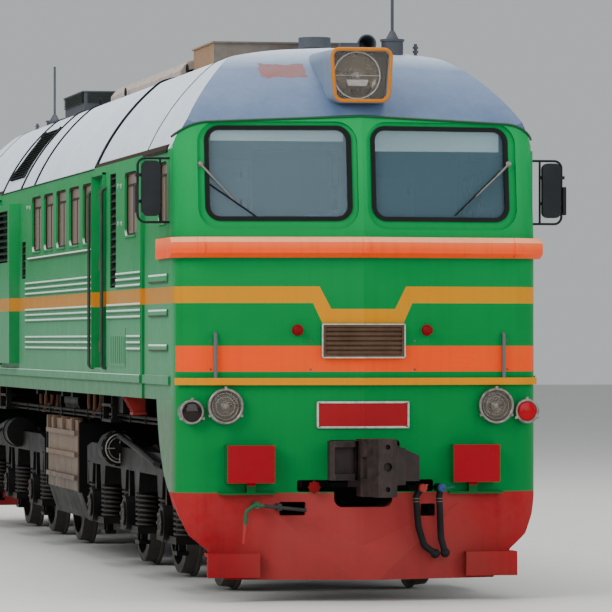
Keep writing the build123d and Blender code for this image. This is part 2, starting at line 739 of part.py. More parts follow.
sill_half = 300.0
pivot_station = 700.0     # the pin on which a coupler swings
far_station = 2 * half_length
deck = block((-nose_half + 62, nose_half - 62), (at(nose_back), at(far_station - nose_back)),
             (floor_low, floor_top))
centre_sills = [block((sign * sill_half, sign * (sill_half + 140)), (at(330), at(far_station - 330)),
                      (1330, floor_low + 5)) for sign in (-1, 1)]
bolsters = []
for middle in (at(bogie_station), -at(bogie_station)):
    bolsters.append(block((-1380, 1380), (middle - 180, middle + 180), (1400, floor_low + 5)))
    bolsters.append(upright(0, middle, 1120, 1420, 150))
cross_members = [block((-1400, 1400), (at(place) - 60, at(place) + 60), (1500, floor_low + 5))
                 for place in (1400, 6900, 7600, 8800, 9500, far_station - 1400)]
draft_boxes = both_ends(block((-440, 440), (at(330), at(1500)), (860, 1340)))
pocket = both_ends(block((-230, 230), (at(300), at(1250)), (900, 1250)))
draft_pins = both_ends(upright(0, at(pivot_station), 880, 1270, 40))
underframe = cut(fuse(deck, centre_sills, bolsters, cross_members, draft_boxes), pocket)
underframe = fuse(underframe, draft_pins)
save("underframe", underframe)

# Jacking brackets: two gussets on a pad, hung from the deck behind each sill

jack_station = 3000.0
gusset_view = Polygon((1300, floor_low), (1430, floor_low), (1430, 1548), (1480, 1548), (1408, 1422),
                      (1408, 1398), (1300, 1398), align=None)
jack_bracket = fuse([along_y(gusset_view, at(jack_station + y), at(jack_station + y + 14))
                     for y in (-60, 46)],
                    block((1290, 1412), (at(jack_station - 85), at(jack_station + 85)), (1398, 1422)),
                    block((1290, 1430), (at(jack_station - 85), at(jack_station + 85)),
                          (floor_low - 18, floor_low)))
save("jack_brackets", [both_ends(piece) for piece in both_sides(jack_bracket)])

# Fuel tank between the bogies, flanged at its front edge and hung from straps

tank_from, tank_to = 7000.0, 9400.0
tank_half, tank_low, tank_top = 1290.0, 352.0, 1260.0
tank_knee, tank_foot_half = 600.0, 1210.0
tank_view = [(-tank_half, tank_top), (-tank_half, tank_knee), (-tank_foot_half, tank_low),
             (tank_foot_half, tank_low), (tank_half, tank_knee), (tank_half, tank_top)]
tank = along_y(Polygon(*tank_view, align=None), at(tank_from), at(tank_to))
tank_straps = [block((-1200, 1200), (at(place) - 50, at(place) + 50), (tank_top - 10, floor_low))
               for place in (7150, 9250)]
flange_width = 40.0
tank_flanges = [block((sign * (tank_half - 10), sign * 1318), (at(place), at(place + flange_width)),
                      (tank_knee, tank_top)) for sign in (-1, 1) for place in (7000, 9360)]
# on the front wall: a round cover, a bracket plate and a small box low on it
cover_x, cover_z, cover_radius = 1130.0, 761.0, 107.0
tank_front = []
for sign in (-1, 1):
    tank_front.append(rod((sign * cover_x, at(tank_from + 5), cover_z),
                          (sign * cover_x, at(tank_from - 46), cover_z), cover_radius))
    tank_front.append(rod((sign * cover_x, at(tank_from + 5), cover_z),
                          (sign * cover_x, at(tank_from - 70), cover_z), cover_radius - 28))
    tank_front.append(block((sign * 929, sign * 1000), (at(tank_from - 60), at(tank_from + 5)),
                            (360, 850)))
    tank_front.append(block((sign * 1082, sign * 1170), (at(tank_from - 80), at(tank_from + 5)),
                            (380, 540)))
save("fuel_tank", cut(fuse(tank, tank_straps, tank_flanges, tank_front), underframe))

# Side plates of the tank, hooked on its top edge, with three long ribs

plate_run = (at(7120), at(9280))
rib_heights = (732.0, 950.0, 1155.0)
hatches = []
for sign in (-1, 1):
    side_plate = block((sign * tank_half, sign * 1314), plate_run, (tank_knee + 10, tank_top + 18))
    ribs = [block((sign * 1310, sign * 1344), (at(7150), at(9240)), (z - 22, z + 22))
            for z in rib_heights]
    hooks = [block((sign * 1240, sign * 1346), (at(place), at(place + 60)), (tank_top, tank_top + 40))
             for place in (7330, 8000, 8670, 9100)]
    hook_ends = [block((sign * 1320, sign * 1346), (at(place), at(place + 60)), (1177, tank_top + 10))
                 for place in (7330, 8000, 8670, 9100)]
    hatches.append(fuse(side_plate, ribs, hooks, hook_ends))
save("tank_hatches", hatches)

# Air reservoirs above the tank, hung from the deck

reservoir_x, reservoir_z, reservoir_radius = 1100.0, 1455.0, 135.0
reservoirs = []
for sign in (-1, 1):
    vessel = rod((sign * reservoir_x, at(7700), reservoir_z), (sign * reservoir_x, at(8700), reservoir_z),
                 reservoir_radius)
    hangers = [block((sign * reservoir_x - 30, sign * reservoir_x + 30), (at(place), at(place + 50)),
                     (reservoir_z, floor_low)) for place in (7880, 8470)]
    reservoirs.append(fuse(vessel, hangers))
save("air_reservoirs", reservoirs)

# Motor cables: bundles of hoses that leave the deck, hang in a bend and return to it

cable_station, cable_length, cable_radius = 6230.0, 400.0, 17.0
# distance from the middle, how low the bend hangs, how far the bundle's plane is shifted back
cable_table = [(1275.0, 1330.0, 0.0), (1215.0, 1385.0, 18.0), (1155.0, 1350.0, -12.0),
               (1095.0, 1420.0, 10.0)]
cables = []
for x, low, back in cable_table:
    start, end = at(cable_station + back), at(cable_station + back + cable_length)
    cables.append(bent([(x, start, floor_low), (x, start, low), (x, end, low), (x, end, floor_low)],
                       cable_radius, bend=150.0))
save("motor_cables", [both_ends(piece) for cable in cables for piece in both_sides(cable)])

# Steps hung under each door

tread_heights = (1315.0, 1450.0)
ladders = []
for start, end in doorways:
    for sign in (-1, 1):
        stiles = [block((sign * 1380, sign * 1430), (at(place), at(place + 30)),
                        (tread_heights[0], 1560)) for place in (start + 60, end - 90)]
        treads = [block((sign * 1340, sign * 1440), (at(start + 60), at(end - 60)), (z, z + 25))
                  for z in tread_heights]
        hanger = block((sign * 1380, sign * 1437), (at(start + 60), at(end - 60)), (1554, 1600))
        ladders.append(cut(fuse(stiles, treads, hanger), underframe))
save("door_steps", ladders)

# Engine with its generator: one plain block on the deck

save("engine_block", block((-800, 800), (at(5500), at(9900)), (floor_top, 3900)))

# Cab bulkheads with a passage through each

bulkhead = cut(along_y(section(wall + 2, floor_top), at(2960), at(3010)),
               block((-380, 380), (at(2900), at(3100)), (floor_top - 10, 3650)))
save("cab_bulkheads", both_ends(bulkhead))

# Driving desks, fitted to the noses, and seats

desk_view = Polygon((at(330), floor_top), (at(760), floor_top), (at(760), 2450), (at(1010), 2480),
                    (at(1010), 2560), (at(600), 2760), (at(330), 2760), align=None)
desk = along_x(desk_view, -1250, 1250)
desk_room = cut(block((-1400, 1400), (at(0), at(700)), (1500, 2900)), inner_nose)
save("cab_desks", both_ends(cut(desk, desk_room)))
seats = []
for x in (-760, 760):
    cushion = block((x - 240, x + 240), (at(1650), at(2130)), (2220, 2330))
    rest = block((x - 240, x + 240), (at(2060), at(2150)), (2320, 2900))
    seats.append(fuse(upright(x, at(1900), floor_top, 2227, 60), cushion, rest))
save("cab_seats", [both_ends(seat) for seat in seats])

# Entrance doors, each with a window opening, a long handle across it and a low grip

leaf_gap = 8.0
leaf_x = (1408.0, 1448.0)
handle_x = 1470.0
handle_table = [(50.0, 460.0, 2630.0), (60.0, 170.0, 2075.0)]   # from, to, height


def door_leaf():
    leaf = block(leaf_x, (at(door_front + leaf_gap), at(door_back - leaf_gap)),
                 (door_low + leaf_gap, door_top - leaf_gap))
    window = Pos(at((door_front + door_back) / 2), 3130) * RectangleRounded(400, 520, 60)
    handles = [bent([(leaf_x[1] - 5, at(door_front + start), z), (handle_x, at(door_front + start), z),
                     (handle_x, at(door_front + end), z), (leaf_x[1] - 5, at(door_front + end), z)],
                    10, bend=14) for start, end, z in handle_table]
    return fuse(cut(leaf, along_x(window, 1300, 1500)), handles)


right_doors = both_ends(door_leaf())
left_doors = both_ends(mirror(right_doors[0], Plane.YZ))
save("door_front_right", right_doors[0])
save("door_rear_left", right_doors[1])
save("door_front_left", left_doors[0])
save("door_rear_right", left_doors[1])

# Handrails: long ones beside the doors, curved in at head and foot, and short ones on the nose ledge

rail_x, rail_low, rail_top = 1540.0, 1790.0, 3350.0
rails = []
for start, end in doorways:
    for place in (start - 60, end + 60):
        rail = bent([(body_half - 3, at(place), rail_top), (rail_x, at(place), rail_top),
                     (rail_x, at(place), rail_low), (body_half - 3, at(place), rail_low)], 15, bend=34)
        rails += both_sides(cut(rail, block((1400, body_half), (at(place - 20), at(place + 20)),
                                            (rail_low - 50, rail_top + 50))))
short_x = 1165.0
short_y = at(bow * short_x - 26)
short_rail = bent([(short_x, short_y, 1733), (short_x, short_y, 2085),
                   (short_x, at(bow * short_x + 20), 2085)], 14, bend=22)
rails += [both_ends(piece) for piece in both_sides(cut(short_rail, outer_nose))]

# Mirrors: a rounded housing clamped on a bent guard bar, with a small second one at its edge

mirror_station, guard_station = 440.0, 520.0
mirror_x, mirror_z = 1632.0, 3236.0
mirror_width, mirror_height, mirror_lip = 150.0, 440.0, 10.0
guard_x, guard_low, guard_top = 1730.0, 2969.0, 3478.0


def mirror_outline(inset):
    return rounded(mirror_width - 2 * inset, mirror_height - 2 * inset, 46 - inset, mirror_x, mirror_z)


housing = along_y(mirror_outline(0.0), at(mirror_station), at(mirror_station + 60))
housing = cut(housing, along_y(mirror_outline(mirror_lip), at(mirror_station + 50),
                               at(mirror_station + 70)))
second = along_y(rounded(26, 229, 12, 1744, 3154), at(mirror_station + 20), at(mirror_station + 60))
guard_bar = bent([(nose_half, at(guard_station), guard_top), (guard_x, at(guard_station), guard_top),
                  (guard_x, at(guard_station), guard_low), (nose_half, at(guard_station), guard_low)],
                 10, bend=60)
inner_bar = upright(1550, at(guard_station), guard_low, guard_top, 9)
clamps = [block((1544, 1750), (at(mirror_station + 49), at(guard_station + 8)), (z, z + 26))
          for z in (3120, 3330)]
mirror_parts = fuse(housing, second, guard_bar, inner_bar, clamps)
save("mirrors", [both_ends(piece) for piece in both_sides(mirror_parts)])

# Air brake hoses: each hangs from a cock beside the coupler, their heads held together below

hose_station = -58.0
cock_z, cock_radius = 866.0, 32.0
# cock X, station of its inner end, then X and height of the hose's bends
hose_table = [(452.0, 330.0, [(404.0, 800.0), (424.0, 560.0), (470.0, 410.0), (560.0, 346.0)]),
              (606.0, 110.0, [(592.0, 800.0), (606.0, 470.0), (640.0, 352.0)])]
hoses = []
for cock_x, inner_end, bends in hose_table:
    cock = rod((cock_x, at(inner_end), cock_z), (cock_x, at(-80), cock_z), cock_radius)
    path = [(cock_x, at(hose_station), cock_z)] + [(x, at(hose_station), z) for x, z in bends]
    hose = bent(path, 26, bend=60)
    coupling = Pos(bends[-1][0], at(hose_station), bends[-1][1]) * Sphere(38)
    hoses.append(largest(cut(fuse(cock, hose, coupling), nose_front, pilot_front)))
save("air_hoses", [both_ends(hose) for hose in hoses])

# Uncoupling lever: a rod from the hole in the pilot, turned down into a handle, in two brackets

lever_y = at(-30)
lever = bent([(-470, lever_y, 694), (-880, lever_y, 738), (-948, lever_y, 690), (-970, lever_y, 435)],
             15, bend=30)
lever_brackets = [block((x, x + 34), (lever_y - 8, at(170)), (z - 26, z + 26))
                  for x, z in ((-880, 736), (-700, 719))]
rails += both_ends(largest(cut(fuse(lever, lever_brackets), outer_nose, pilot_front)))
save("handrails", rails)


# Couplers: a shank, a column with the lock, a big hollow tooth on one side and a wing on the other

coupler_axis = 1045.0
neck_plan = [(-90, -60), (-160, -130), (-94, -260), (161, -260), (203, -130), (90, -60)]
tooth_plan = [(-90, -80), (-300, -110), (-330, -170), (-330, -270), (-290, -310), (-130, -280),
              (-82, -200)]
column_plan = [(-94, -150), (-94, -330), (-50, -440), (0, -560), (34, -575), (110, -570),
               (161, -500), (161, -150)]
jaw_plan = [(150, -480), (250, -400), (262, -320), (203, -150), (150, -150)]
# plan of each part of the head, low, top
head_parts = [(neck_plan, 880.0, 1215.0), (tooth_plan, 935.0, 1242.0),
              (column_plan, 809.0, 1259.0), (jaw_plan, 900.0, 1190.0)]
head = [along_z(Polygon(*[(x, at(place)) for x, place in corners], align=None), low, top)
        for corners, low, top in head_parts]
wing_view = Polygon((120, 922), (120, 1218), (203, 1218), (417, 1122), (417, 922), align=None)
wing = along_y(wing_view, at(-140), at(-80))
tooth_hollow = block((-296, -122), (at(-400), at(-190)), (985, 1195))
lock_slot = block((-110, -60), (at(-480), at(-330)), (950, 1120))
# holes in the column's front: X, height, radius
column_holes = [rod((x, at(-700), z), (x, at(-520), z), radius)
                for x, z, radius in ((72, 870, 20), (72, 1200, 20), (72, 1045, 34))]
shank = block((-90, 90), (at(-130), at(pivot_station)), (coupler_axis - 85, coupler_axis + 85))
eye = upright(0, at(pivot_station), coupler_axis - 85, coupler_axis + 85, 95)
pin_hole = upright(0, at(pivot_station), 800, 1300, 42)
coupler = cut(fuse(head, wing, shank, eye), tooth_hollow, lock_slot, column_holes, pin_hole)
couplers = both_ends(coupler)
save("coupler_front", couplers[0])
save("coupler_rear", couplers[1])

# Wheelsets: axle and two wheels turned as one piece

# distance from the middle, radius
wheel_profile = [(0, 0), (0, 96), (640, 96), (690, 122), (704, 150), (716, 150), (752, 210),
                 (740, 430), (722, 452), (720, 546), (732, 553), (748, 549), (756, 532),
                 (862, 519), (868, 446), (800, 430), (790, 215), (880, 150), (892, 150),
                 (892, 118), (966, 104), (966, 80), (1290, 80), (1290, 0)]


def wheelset(y):
    outline = make_face(Polyline(*wheel_profile, close=True))
    half = revolve(outline, Axis.X, 360)
    return Pos(0, y, axle_height) * fuse(half, mirror(half, Plane.YZ))


# Bogies: side sills with spring brackets, cross members between the motors, a centre bearing

frame_x = (1110.0, 1290.0)
frame_low, frame_top = 900.0, 1050.0
frame_half_length = 2740.0
axle_offsets = (-wheelbase, 0.0, wheelbase)
spring_reach = 400.0                 # axle to the middle of each spring
spring_x = 1205.0
spring_radius, spring_root, spring_turns = 86.0, 76.0, 7
wing_low, wing_top = 370.0, 430.0
spring_top = 725.0
box_x = (1010.0, 1340.0)


def bogie_frame(middle):
    end, rise = frame_half_length, 40.0
    side_view = Polygon(
        (-end, 930), (-end, frame_top), (-end + 300, frame_top + rise), (end - 300, frame_top + rise),
        (end, frame_top), (end, 930), (end - 260, frame_low), (-end + 260, frame_low), align=None,
    )
    bracket_view = Polygon((-160, frame_low + 5), (-105, spring_top), (105, spring_top),
                           (160, frame_low + 5), align=None)
    sills, horns = [], []
    for sign in (-1, 1):
        sills.append(along_x(Pos(middle, 0) * side_view, sign * frame_x[0], sign * frame_x[1]))
        for y in axle_offsets:
            sills += [along_x(Pos(middle + y + side * spring_reach, 0) * bracket_view,
                              sign * frame_x[0], sign * frame_x[1]) for side in (-1, 1)]
            horns += [block((sign * 1130, sign * 1270), (middle + y + side - 38, middle + y + side + 38),
                            (520, frame_low + 5)) for side in (-195, 195)]
    crosses = [block((-frame_x[0] - 5, frame_x[0] + 5), (middle + y - 110, middle + y + 110),
                     (1000, frame_top)) for y in (-wheelbase / 2, wheelbase / 2)]
    for y in (-end + 35, end - 35):
        crosses.append(block((-1200, 1200), (middle + y - 35, middle + y + 35), (700, 840)))
        crosses += [block((sign * 1112, sign * 1288), (middle + y - 35, middle + y + 35), (700, 1040))
                    for sign in (-1, 1)]
    spine = block((-240, 240), (middle - wheelbase / 2, middle + wheelbase / 2), (1010, 1110))
    socket = upright(0, middle, 1000, 1220, 260)
    bore = upright(0, middle, 900, 1300, 160)
    return fuse(cut(fuse(sills, crosses, spine, socket), bore), horns)


def spring(x, y):
    # a coil spring as a stack of rounded-off rings between the wing and the bracket
    pitch = (spring_top - wing_top) / spring_turns
    side = [(0, wing_top), (spring_root, wing_top)]
    for turn in range(spring_turns):
        foot = wing_top + turn * pitch
        side += [(spring_root, foot + 0.15 * pitch), (spring_radius, foot + 0.35 * pitch),
                 (spring_radius, foot + 0.65 * pitch), (spring_root, foot + 0.85 * pitch)]
    side += [(spring_root, spring_top), (0, spring_top)]
    return Pos(x, y, 0) * revolve(Plane.XZ * make_face(Polyline(*side, close=True)), Axis.Z, 360)


def axle_boxes(middle):
    # each box has a wing either side with a spring standing on it, and a foot slung below
    pieces = []
    for sign in (-1, 1):
        for y in axle_offsets:
            centre = middle + y
            hull = rod((sign * box_x[0], centre, axle_height), (sign * box_x[1], centre, axle_height), 150)
            cover = rod((sign * 1330, centre, axle_height), (sign * 1358, centre, axle_height), 104)
            wings = block((sign * 1110, sign * 1300), (centre - 520, centre + 520), (wing_low, wing_top))
            web = block((sign * 1110, sign * 1290), (centre - 150, centre + 150), (wing_low, axle_height))
            bore = rod((sign * 970, centre, axle_height), (sign * 1294, centre, axle_height), 82)
            springs = [spring(sign * spring_x, centre + side * spring_reach) for side in (-1, 1)]
            foot = block((sign * 1130, sign * 1230), (centre - 120, centre + 120), (262, 296))
            foot_plates = [block((sign * 1150, sign * 1210), (centre + side - 10, centre + side + 10),
                                 (280, wing_low + 5)) for side in (-90, 90)]
            pieces.append(cut(fuse(hull, cover, wings, web, springs, foot, foot_plates), bore))
    return pieces


def motors(middle):
    # each motor hangs beside its axle, towards the bogie's middle or back
    pieces = []
    for y in axle_offsets:
        side = -1 if y > 0 else 1
        centre = middle + y + side * 545
        pieces.append(rod((-380, centre, axle_height + 30), (500, centre, axle_height + 30), 400))
    return pieces


drum_x, drum_z, drum_radius = 1300.0, 1078.0, 150.0


def brakes(middle, inward):
    # a cylinder on the inner half of each sill with its hose, and a shoe either side of each wheel
    pieces = []
    for sign in (-1, 1):
        face, back = middle + inward * 580, middle + inward * 900
        drum = rod((sign * drum_x, face, drum_z), (sign * drum_x, back, drum_z), drum_radius)
        rings = [rod((sign * drum_x, face + inward * near, drum_z),
                     (sign * drum_x, face + inward * far, drum_z), radius)
                 for near, far, radius in ((-12, 14, 128), (20, 40, 160), (-44, 0, 42))]
        hose = bent([(sign * drum_x, face + inward * 10, 1170), (sign * 1330, face - inward * 260, 1190),
                     (sign * 1330, face - inward * 1500, 1085), (sign * 1330, face - inward * 2300, 1000),
                     (sign * 1285, face - inward * 2380, 985)], 27, bend=60)
        pieces.append(fuse(drum, rings, hose))
        for y in axle_offsets:
            centre = middle + y
            for side in (-1, 1):
                shoe = cut(
                    block((sign * 770, sign * 855), (centre + side * 555, centre + side * 640), (380, 690)),
                    rod((sign * 760, centre, axle_height), (sign * 865, centre, axle_height), 563))
                hanger = block((sign * 790, sign * 835), (centre + side * 600, centre + side * 640),
                               (600, 935))
                arm = block((sign * 790, sign * 1115), (centre + side * 600, centre + side * 640),
                            (905, 940))
                pieces.append(fuse(shoe, hanger, arm))
    return pieces


for end, name in ((-1, "front"), (1, "rear")):
    middle = end * (half_length - bogie_station)
    frame = bogie_frame(middle)
    save(f"bogie_{name}_frame", frame)
    save(f"bogie_{name}_axle_boxes", axle_boxes(middle))
    save(f"bogie_{name}_motors", motors(middle))
    save(f"bogie_{name}_brakes", [largest(cut(piece, frame)) for piece in brakes(middle, -end)])

axle_places = [end * (half_length - bogie_station) + y
               for end in (-1, 1) for y in axle_offsets]
for number, y in enumerate(axle_places, start=1):
    save(f"wheelset_{number}", wheelset(y))
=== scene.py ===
from functools import partial
import math
from fnmatch import filter as matching
import bmesh
import bpy
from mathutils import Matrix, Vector


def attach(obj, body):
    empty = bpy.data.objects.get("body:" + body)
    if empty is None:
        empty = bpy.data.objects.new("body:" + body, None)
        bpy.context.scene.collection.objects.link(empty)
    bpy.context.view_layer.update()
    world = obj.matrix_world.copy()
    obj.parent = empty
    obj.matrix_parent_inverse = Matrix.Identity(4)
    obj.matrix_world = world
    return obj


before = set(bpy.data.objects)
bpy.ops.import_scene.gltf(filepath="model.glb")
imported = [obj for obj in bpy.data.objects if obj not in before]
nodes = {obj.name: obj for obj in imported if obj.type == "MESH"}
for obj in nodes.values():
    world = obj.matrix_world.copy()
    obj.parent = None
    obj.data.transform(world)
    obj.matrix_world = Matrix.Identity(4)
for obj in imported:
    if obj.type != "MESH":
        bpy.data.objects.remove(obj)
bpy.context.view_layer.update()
print("frame loaded:", len(nodes), "nodes")

# main sizes in metres; the heights below are above the rail head
railTop = 0.028             # rail head above the flanges' lowest point
noseTip = 8.2               # middle of the body to a nose tip
bodyHalf = 1.498
noseHalf = 1.475
noseSlope = 0.144           # how far the V face falls back for each metre sideways
visorTop = 2.845
screenTop = 3.804
screenLean = 0.120 / (screenTop - visorTop)     # how much the windscreen wall leans back


def fromHex(text):
    # sRGB hex to linear
    parts = [int(text[i:i + 2], 16) / 255 for i in (0, 2, 4)]
    linear = [c / 12.92 if c <= 0.04045 else ((c + 0.055) / 1.055) ** 2.4 for c in parts]
    return (*linear, 1.0)


def setInputs(node, inputs):
    # each input gets a link, a hex colour or a plain value
    for socket, value in inputs.items():
        target = node.inputs[socket]
        if isinstance(value, bpy.types.Node):
            value = value.outputs[0]
        if isinstance(value, bpy.types.NodeSocket):
            node.id_data.links.new(value, target)
        else:
            target.default_value = fromHex(value) if target.type == "RGBA" else value


def addNode(tree, kind, *values, **settings):
    # one node with its settings, then values in the order of its inputs or a dictionary that
    # names them; a kind in capitals is a Math node with that operation
    if kind.isupper():
        kind, settings = "Math", {"operation": kind}
    node = tree.nodes.new(kind if "Node" in kind else "ShaderNode" + kind)
    for name, value in settings.items():
        setattr(node, name, value)
    named = bool(values) and isinstance(values[0], dict)
    setInputs(node, values[0] if named else dict(enumerate(values)))
    return node


finishes = {}


def newMaterial(name):
    # what adds its nodes, its shader, object coordinates, and the parts of place and facing
    material = bpy.data.materials.new(name)
    material.use_nodes = True
    finishes[name] = material
    add = partial(addNode, material.node_tree)
    place = add("TexCoord")
    spot = place.outputs["Object"]
    facing = add("SeparateXYZ", place.outputs["Normal"]).outputs
    shader = material.node_tree.nodes["Principled BSDF"]
    return add, shader, spot, add("SeparateXYZ", spot).outputs, facing


# noise of every weathered surface: scale, detail, roughness
patterns = {
    "cloud": (0.9, 5.0, 0.6), "streak": (1.6, 6.0, 0.65), "patch": (3.7, 8.0, 0.7),
    "speck": (14.0, 9.0, 0.75), "waves": (2.3, 2.0, 0.5), "fine": (60.0, 4.0, 0.5),
}
plainLook = {
    "dust": 0.2, "dustHex": "77746a", "fade": 0.1, "streaks": 0.1, "grimeHex": "211d19",
    "chipHex": "4a2a1c", "roughness": 0.4, "bump": 0.2, "coat": 0.0, "specular": 0.35,
}


def weather(paint, colour, **own):
    # enamel over steel: cloudy fading, rain streaks down it, dust in patches, chips to primer
    add, shader, spot, at, facing = paint
    look = {**plainLook, **own}
    rain = add("Mapping", {"Vector": spot, "Scale": (9.0, 9.0, 0.45)})
    noise = {name: add("TexNoise", {"Vector": rain if name == "streak" else spot, "Scale": scale,
                                    "Detail": detail, "Roughness": rough})
             for name, (scale, detail, rough) in patterns.items()}
    # what shows it, from and to, how strong at either end, its colour
    layers = [(noise["cloud"], 0.35, 0.7, 0.0, look["fade"], look.get("fadeHex", look["dustHex"])),
              (noise["streak"], 0.5, 0.78, 0.0, look["streaks"], look["grimeHex"]),
              (noise["patch"], 0.4, 0.72, 0.0, look["dust"], look["dustHex"])]
    if "middleDust" in look:
        across = add("ABSOLUTE", at["X"])
        layers.append((across, 0.65, 1.1, look["middleDust"], 0.0, look["dustHex"]))
    for value, low, high, start, end, layerHex in layers:
        colour = add("MixRGB", add("MapRange", value, low, high, start, end), colour, layerHex)
    if "lowDirt" in look:
        mask = add("MULTIPLY", add("MapRange", at["Z"], *look["lowDirt"], 0.0), noise["patch"])
        colour = add("MixRGB", mask, colour, look["grimeHex"])
    if "chips" in look:
        edge = 0.70 - 0.1 * look["chips"]
        chipped = add("MapRange", noise["speck"], edge, edge + 0.03)
        colour = add("MixRGB", chipped, colour, look["chipHex"])
    smooth, dull = look["roughness"], min(1.0, look["roughness"] + 0.25)
    relief = add("MULTIPLY_ADD", noise["waves"], 4.0, noise["fine"])
    setInputs(shader, {
        "Base Color": colour, "Roughness": add("MapRange", noise["patch"], 0.3, 0.75, smooth, dull),
        "Normal": add("Bump", {"Height": relief, "Strength": look["bump"], "Distance": 0.002}),
        "Coat Weight": look["coat"], "Coat Roughness": 0.12, "Specular IOR Level": look["specular"],
        "IOR": 1.5})


def bandMask(add, height, low, high, edge=0.0015):
    # 1 between low and high, with a hair of softness at both edges
    rise = add("MapRange", height, low - edge, low + edge)
    fall = add("MapRange", height, high - edge, high + edge, 1.0, 0.0)
    return add("MULTIPLY", rise, fall)


# stripes on the body, as heights above the flanges' lowest point and widths from the middle
stripes = {
    "yellow": (2.353, 2.484), "orange": (1.811, 2.014),
    "dipTop": (0.257, 0.349, 2.306, 2.484), "dipFoot": (0.327, 0.400, 2.195, 2.353),
}
bodyPaint = {
    "frontGreen": "007a38", "frontUpper": "009a50", "frontYellow": "d48500",
    # the pale top colour is dust with a painted highlight; the under and inside colours are painted
    # shade
    "frontOrange": "fa4200", "flankYellow": "ba7a26", "topDustAndHighlight": "e2f6ec",
    "underShade": "3a3626", "insideShade": "0d0c0b",
    # height and colour of the chalked flanks, from the sill up
    "flank": [(1.45, "5b735d"), (1.72, "548a67"), (2.3, "458c62"), (2.75, "1f8049"),
              (2.95, "067a3c"), (3.56, "058644")],
    # how far sideways a face looks where the chalk starts and is full, and where the orange ends
    "chalkTurn": (0.90, 0.985), "orangeTurn": (0.905, 0.925), "insideShadeTop": 1.72,
}

# beads pressed in the flanks: groups of three, broad ribs beside the noses, mouldings
pressed = {
    "pitch": 0.052, "groups": (2.009, 2.277, 2.539), "beads": (1.955, 2.650),
    "ribs": [(2.493, 2.561), (2.220, 2.278), (1.942, 1.998)], "ribEdge": 0.014,
    # from, to, and how wide their light and shade are
    "mouldings": [(1.677, 1.747, 0.004), (2.820, 2.846, 0.012)],
    # how far across each of them lies
    "beadOut": (1.507, 1.513), "ribOut": (1.487, 1.4935), "mouldingOut": (1.514, 1.525),
    "vent": (4.50, 5.50), "ventTop": 2.17,
}


def beadLight(add, colour, height, across, sideways, vent):
    # painted sky highlight on the upper half of every bead and rib, painted shade under its lower
    # edge
    groups = pressed["groups"]
    middle = groups[0] + railTop
    for low, high in zip(groups, groups[1:]):
        above = add("GREATER_THAN", height, (low + high) / 2)
        middle = add("MULTIPLY_ADD", above, high - low, middle)
    offset = add("SUBTRACT", height, middle)
    turns = add("MULTIPLY_ADD", offset, 1 / pressed["pitch"], 100.5)
    local = add("FRACT", turns)
    flat = add("MapRange", sideways, 0.8, 0.9)
    onBead, onRib, onMoulding = (
        add("MULTIPLY", bandMask(add, across, *pressed[out], 0.0005), flat)
        for out in ("beadOut", "ribOut", "mouldingOut"))
    closed = add("SUBTRACT", 1.0, vent)
    for mask in (bandMask(add, height, *pressed["beads"]), closed):
        onBead = add("MULTIPLY", onBead, mask)
    pale, dark = bodyPaint["topDustAndHighlight"], bodyPaint["underShade"]
    # the pale band is a painted highlight, the dark band painted shade
    for low, high, share, lightHex in ((0.46, 0.54, 0.9, pale), (0.40, 0.33, 0.7, dark)):
        lit = add("MULTIPLY", onBead, add("MapRange", local, low, high, 0.0, share))
        colour = add("MixRGB", lit, colour, lightHex)
    # ribs and mouldings get a painted highlight along their top edge and painted shade along their
    # foot
    lines = [(onRib, low, high, pressed["ribEdge"]) for low, high in pressed["ribs"]]
    lines += [(onMoulding, *moulding) for moulding in pressed["mouldings"]]
    for place, low, high, wide in lines:
        low, high = low + railTop, high + railTop
        for start, end, lightHex in ((high - wide, high + 0.01, pale),
                                     (low - 0.01, low + wide, dark)):
            lit = add("MULTIPLY", place, bandMask(add, height, start, end))
            colour = add("MixRGB", lit, colour, lightHex)
    return colour


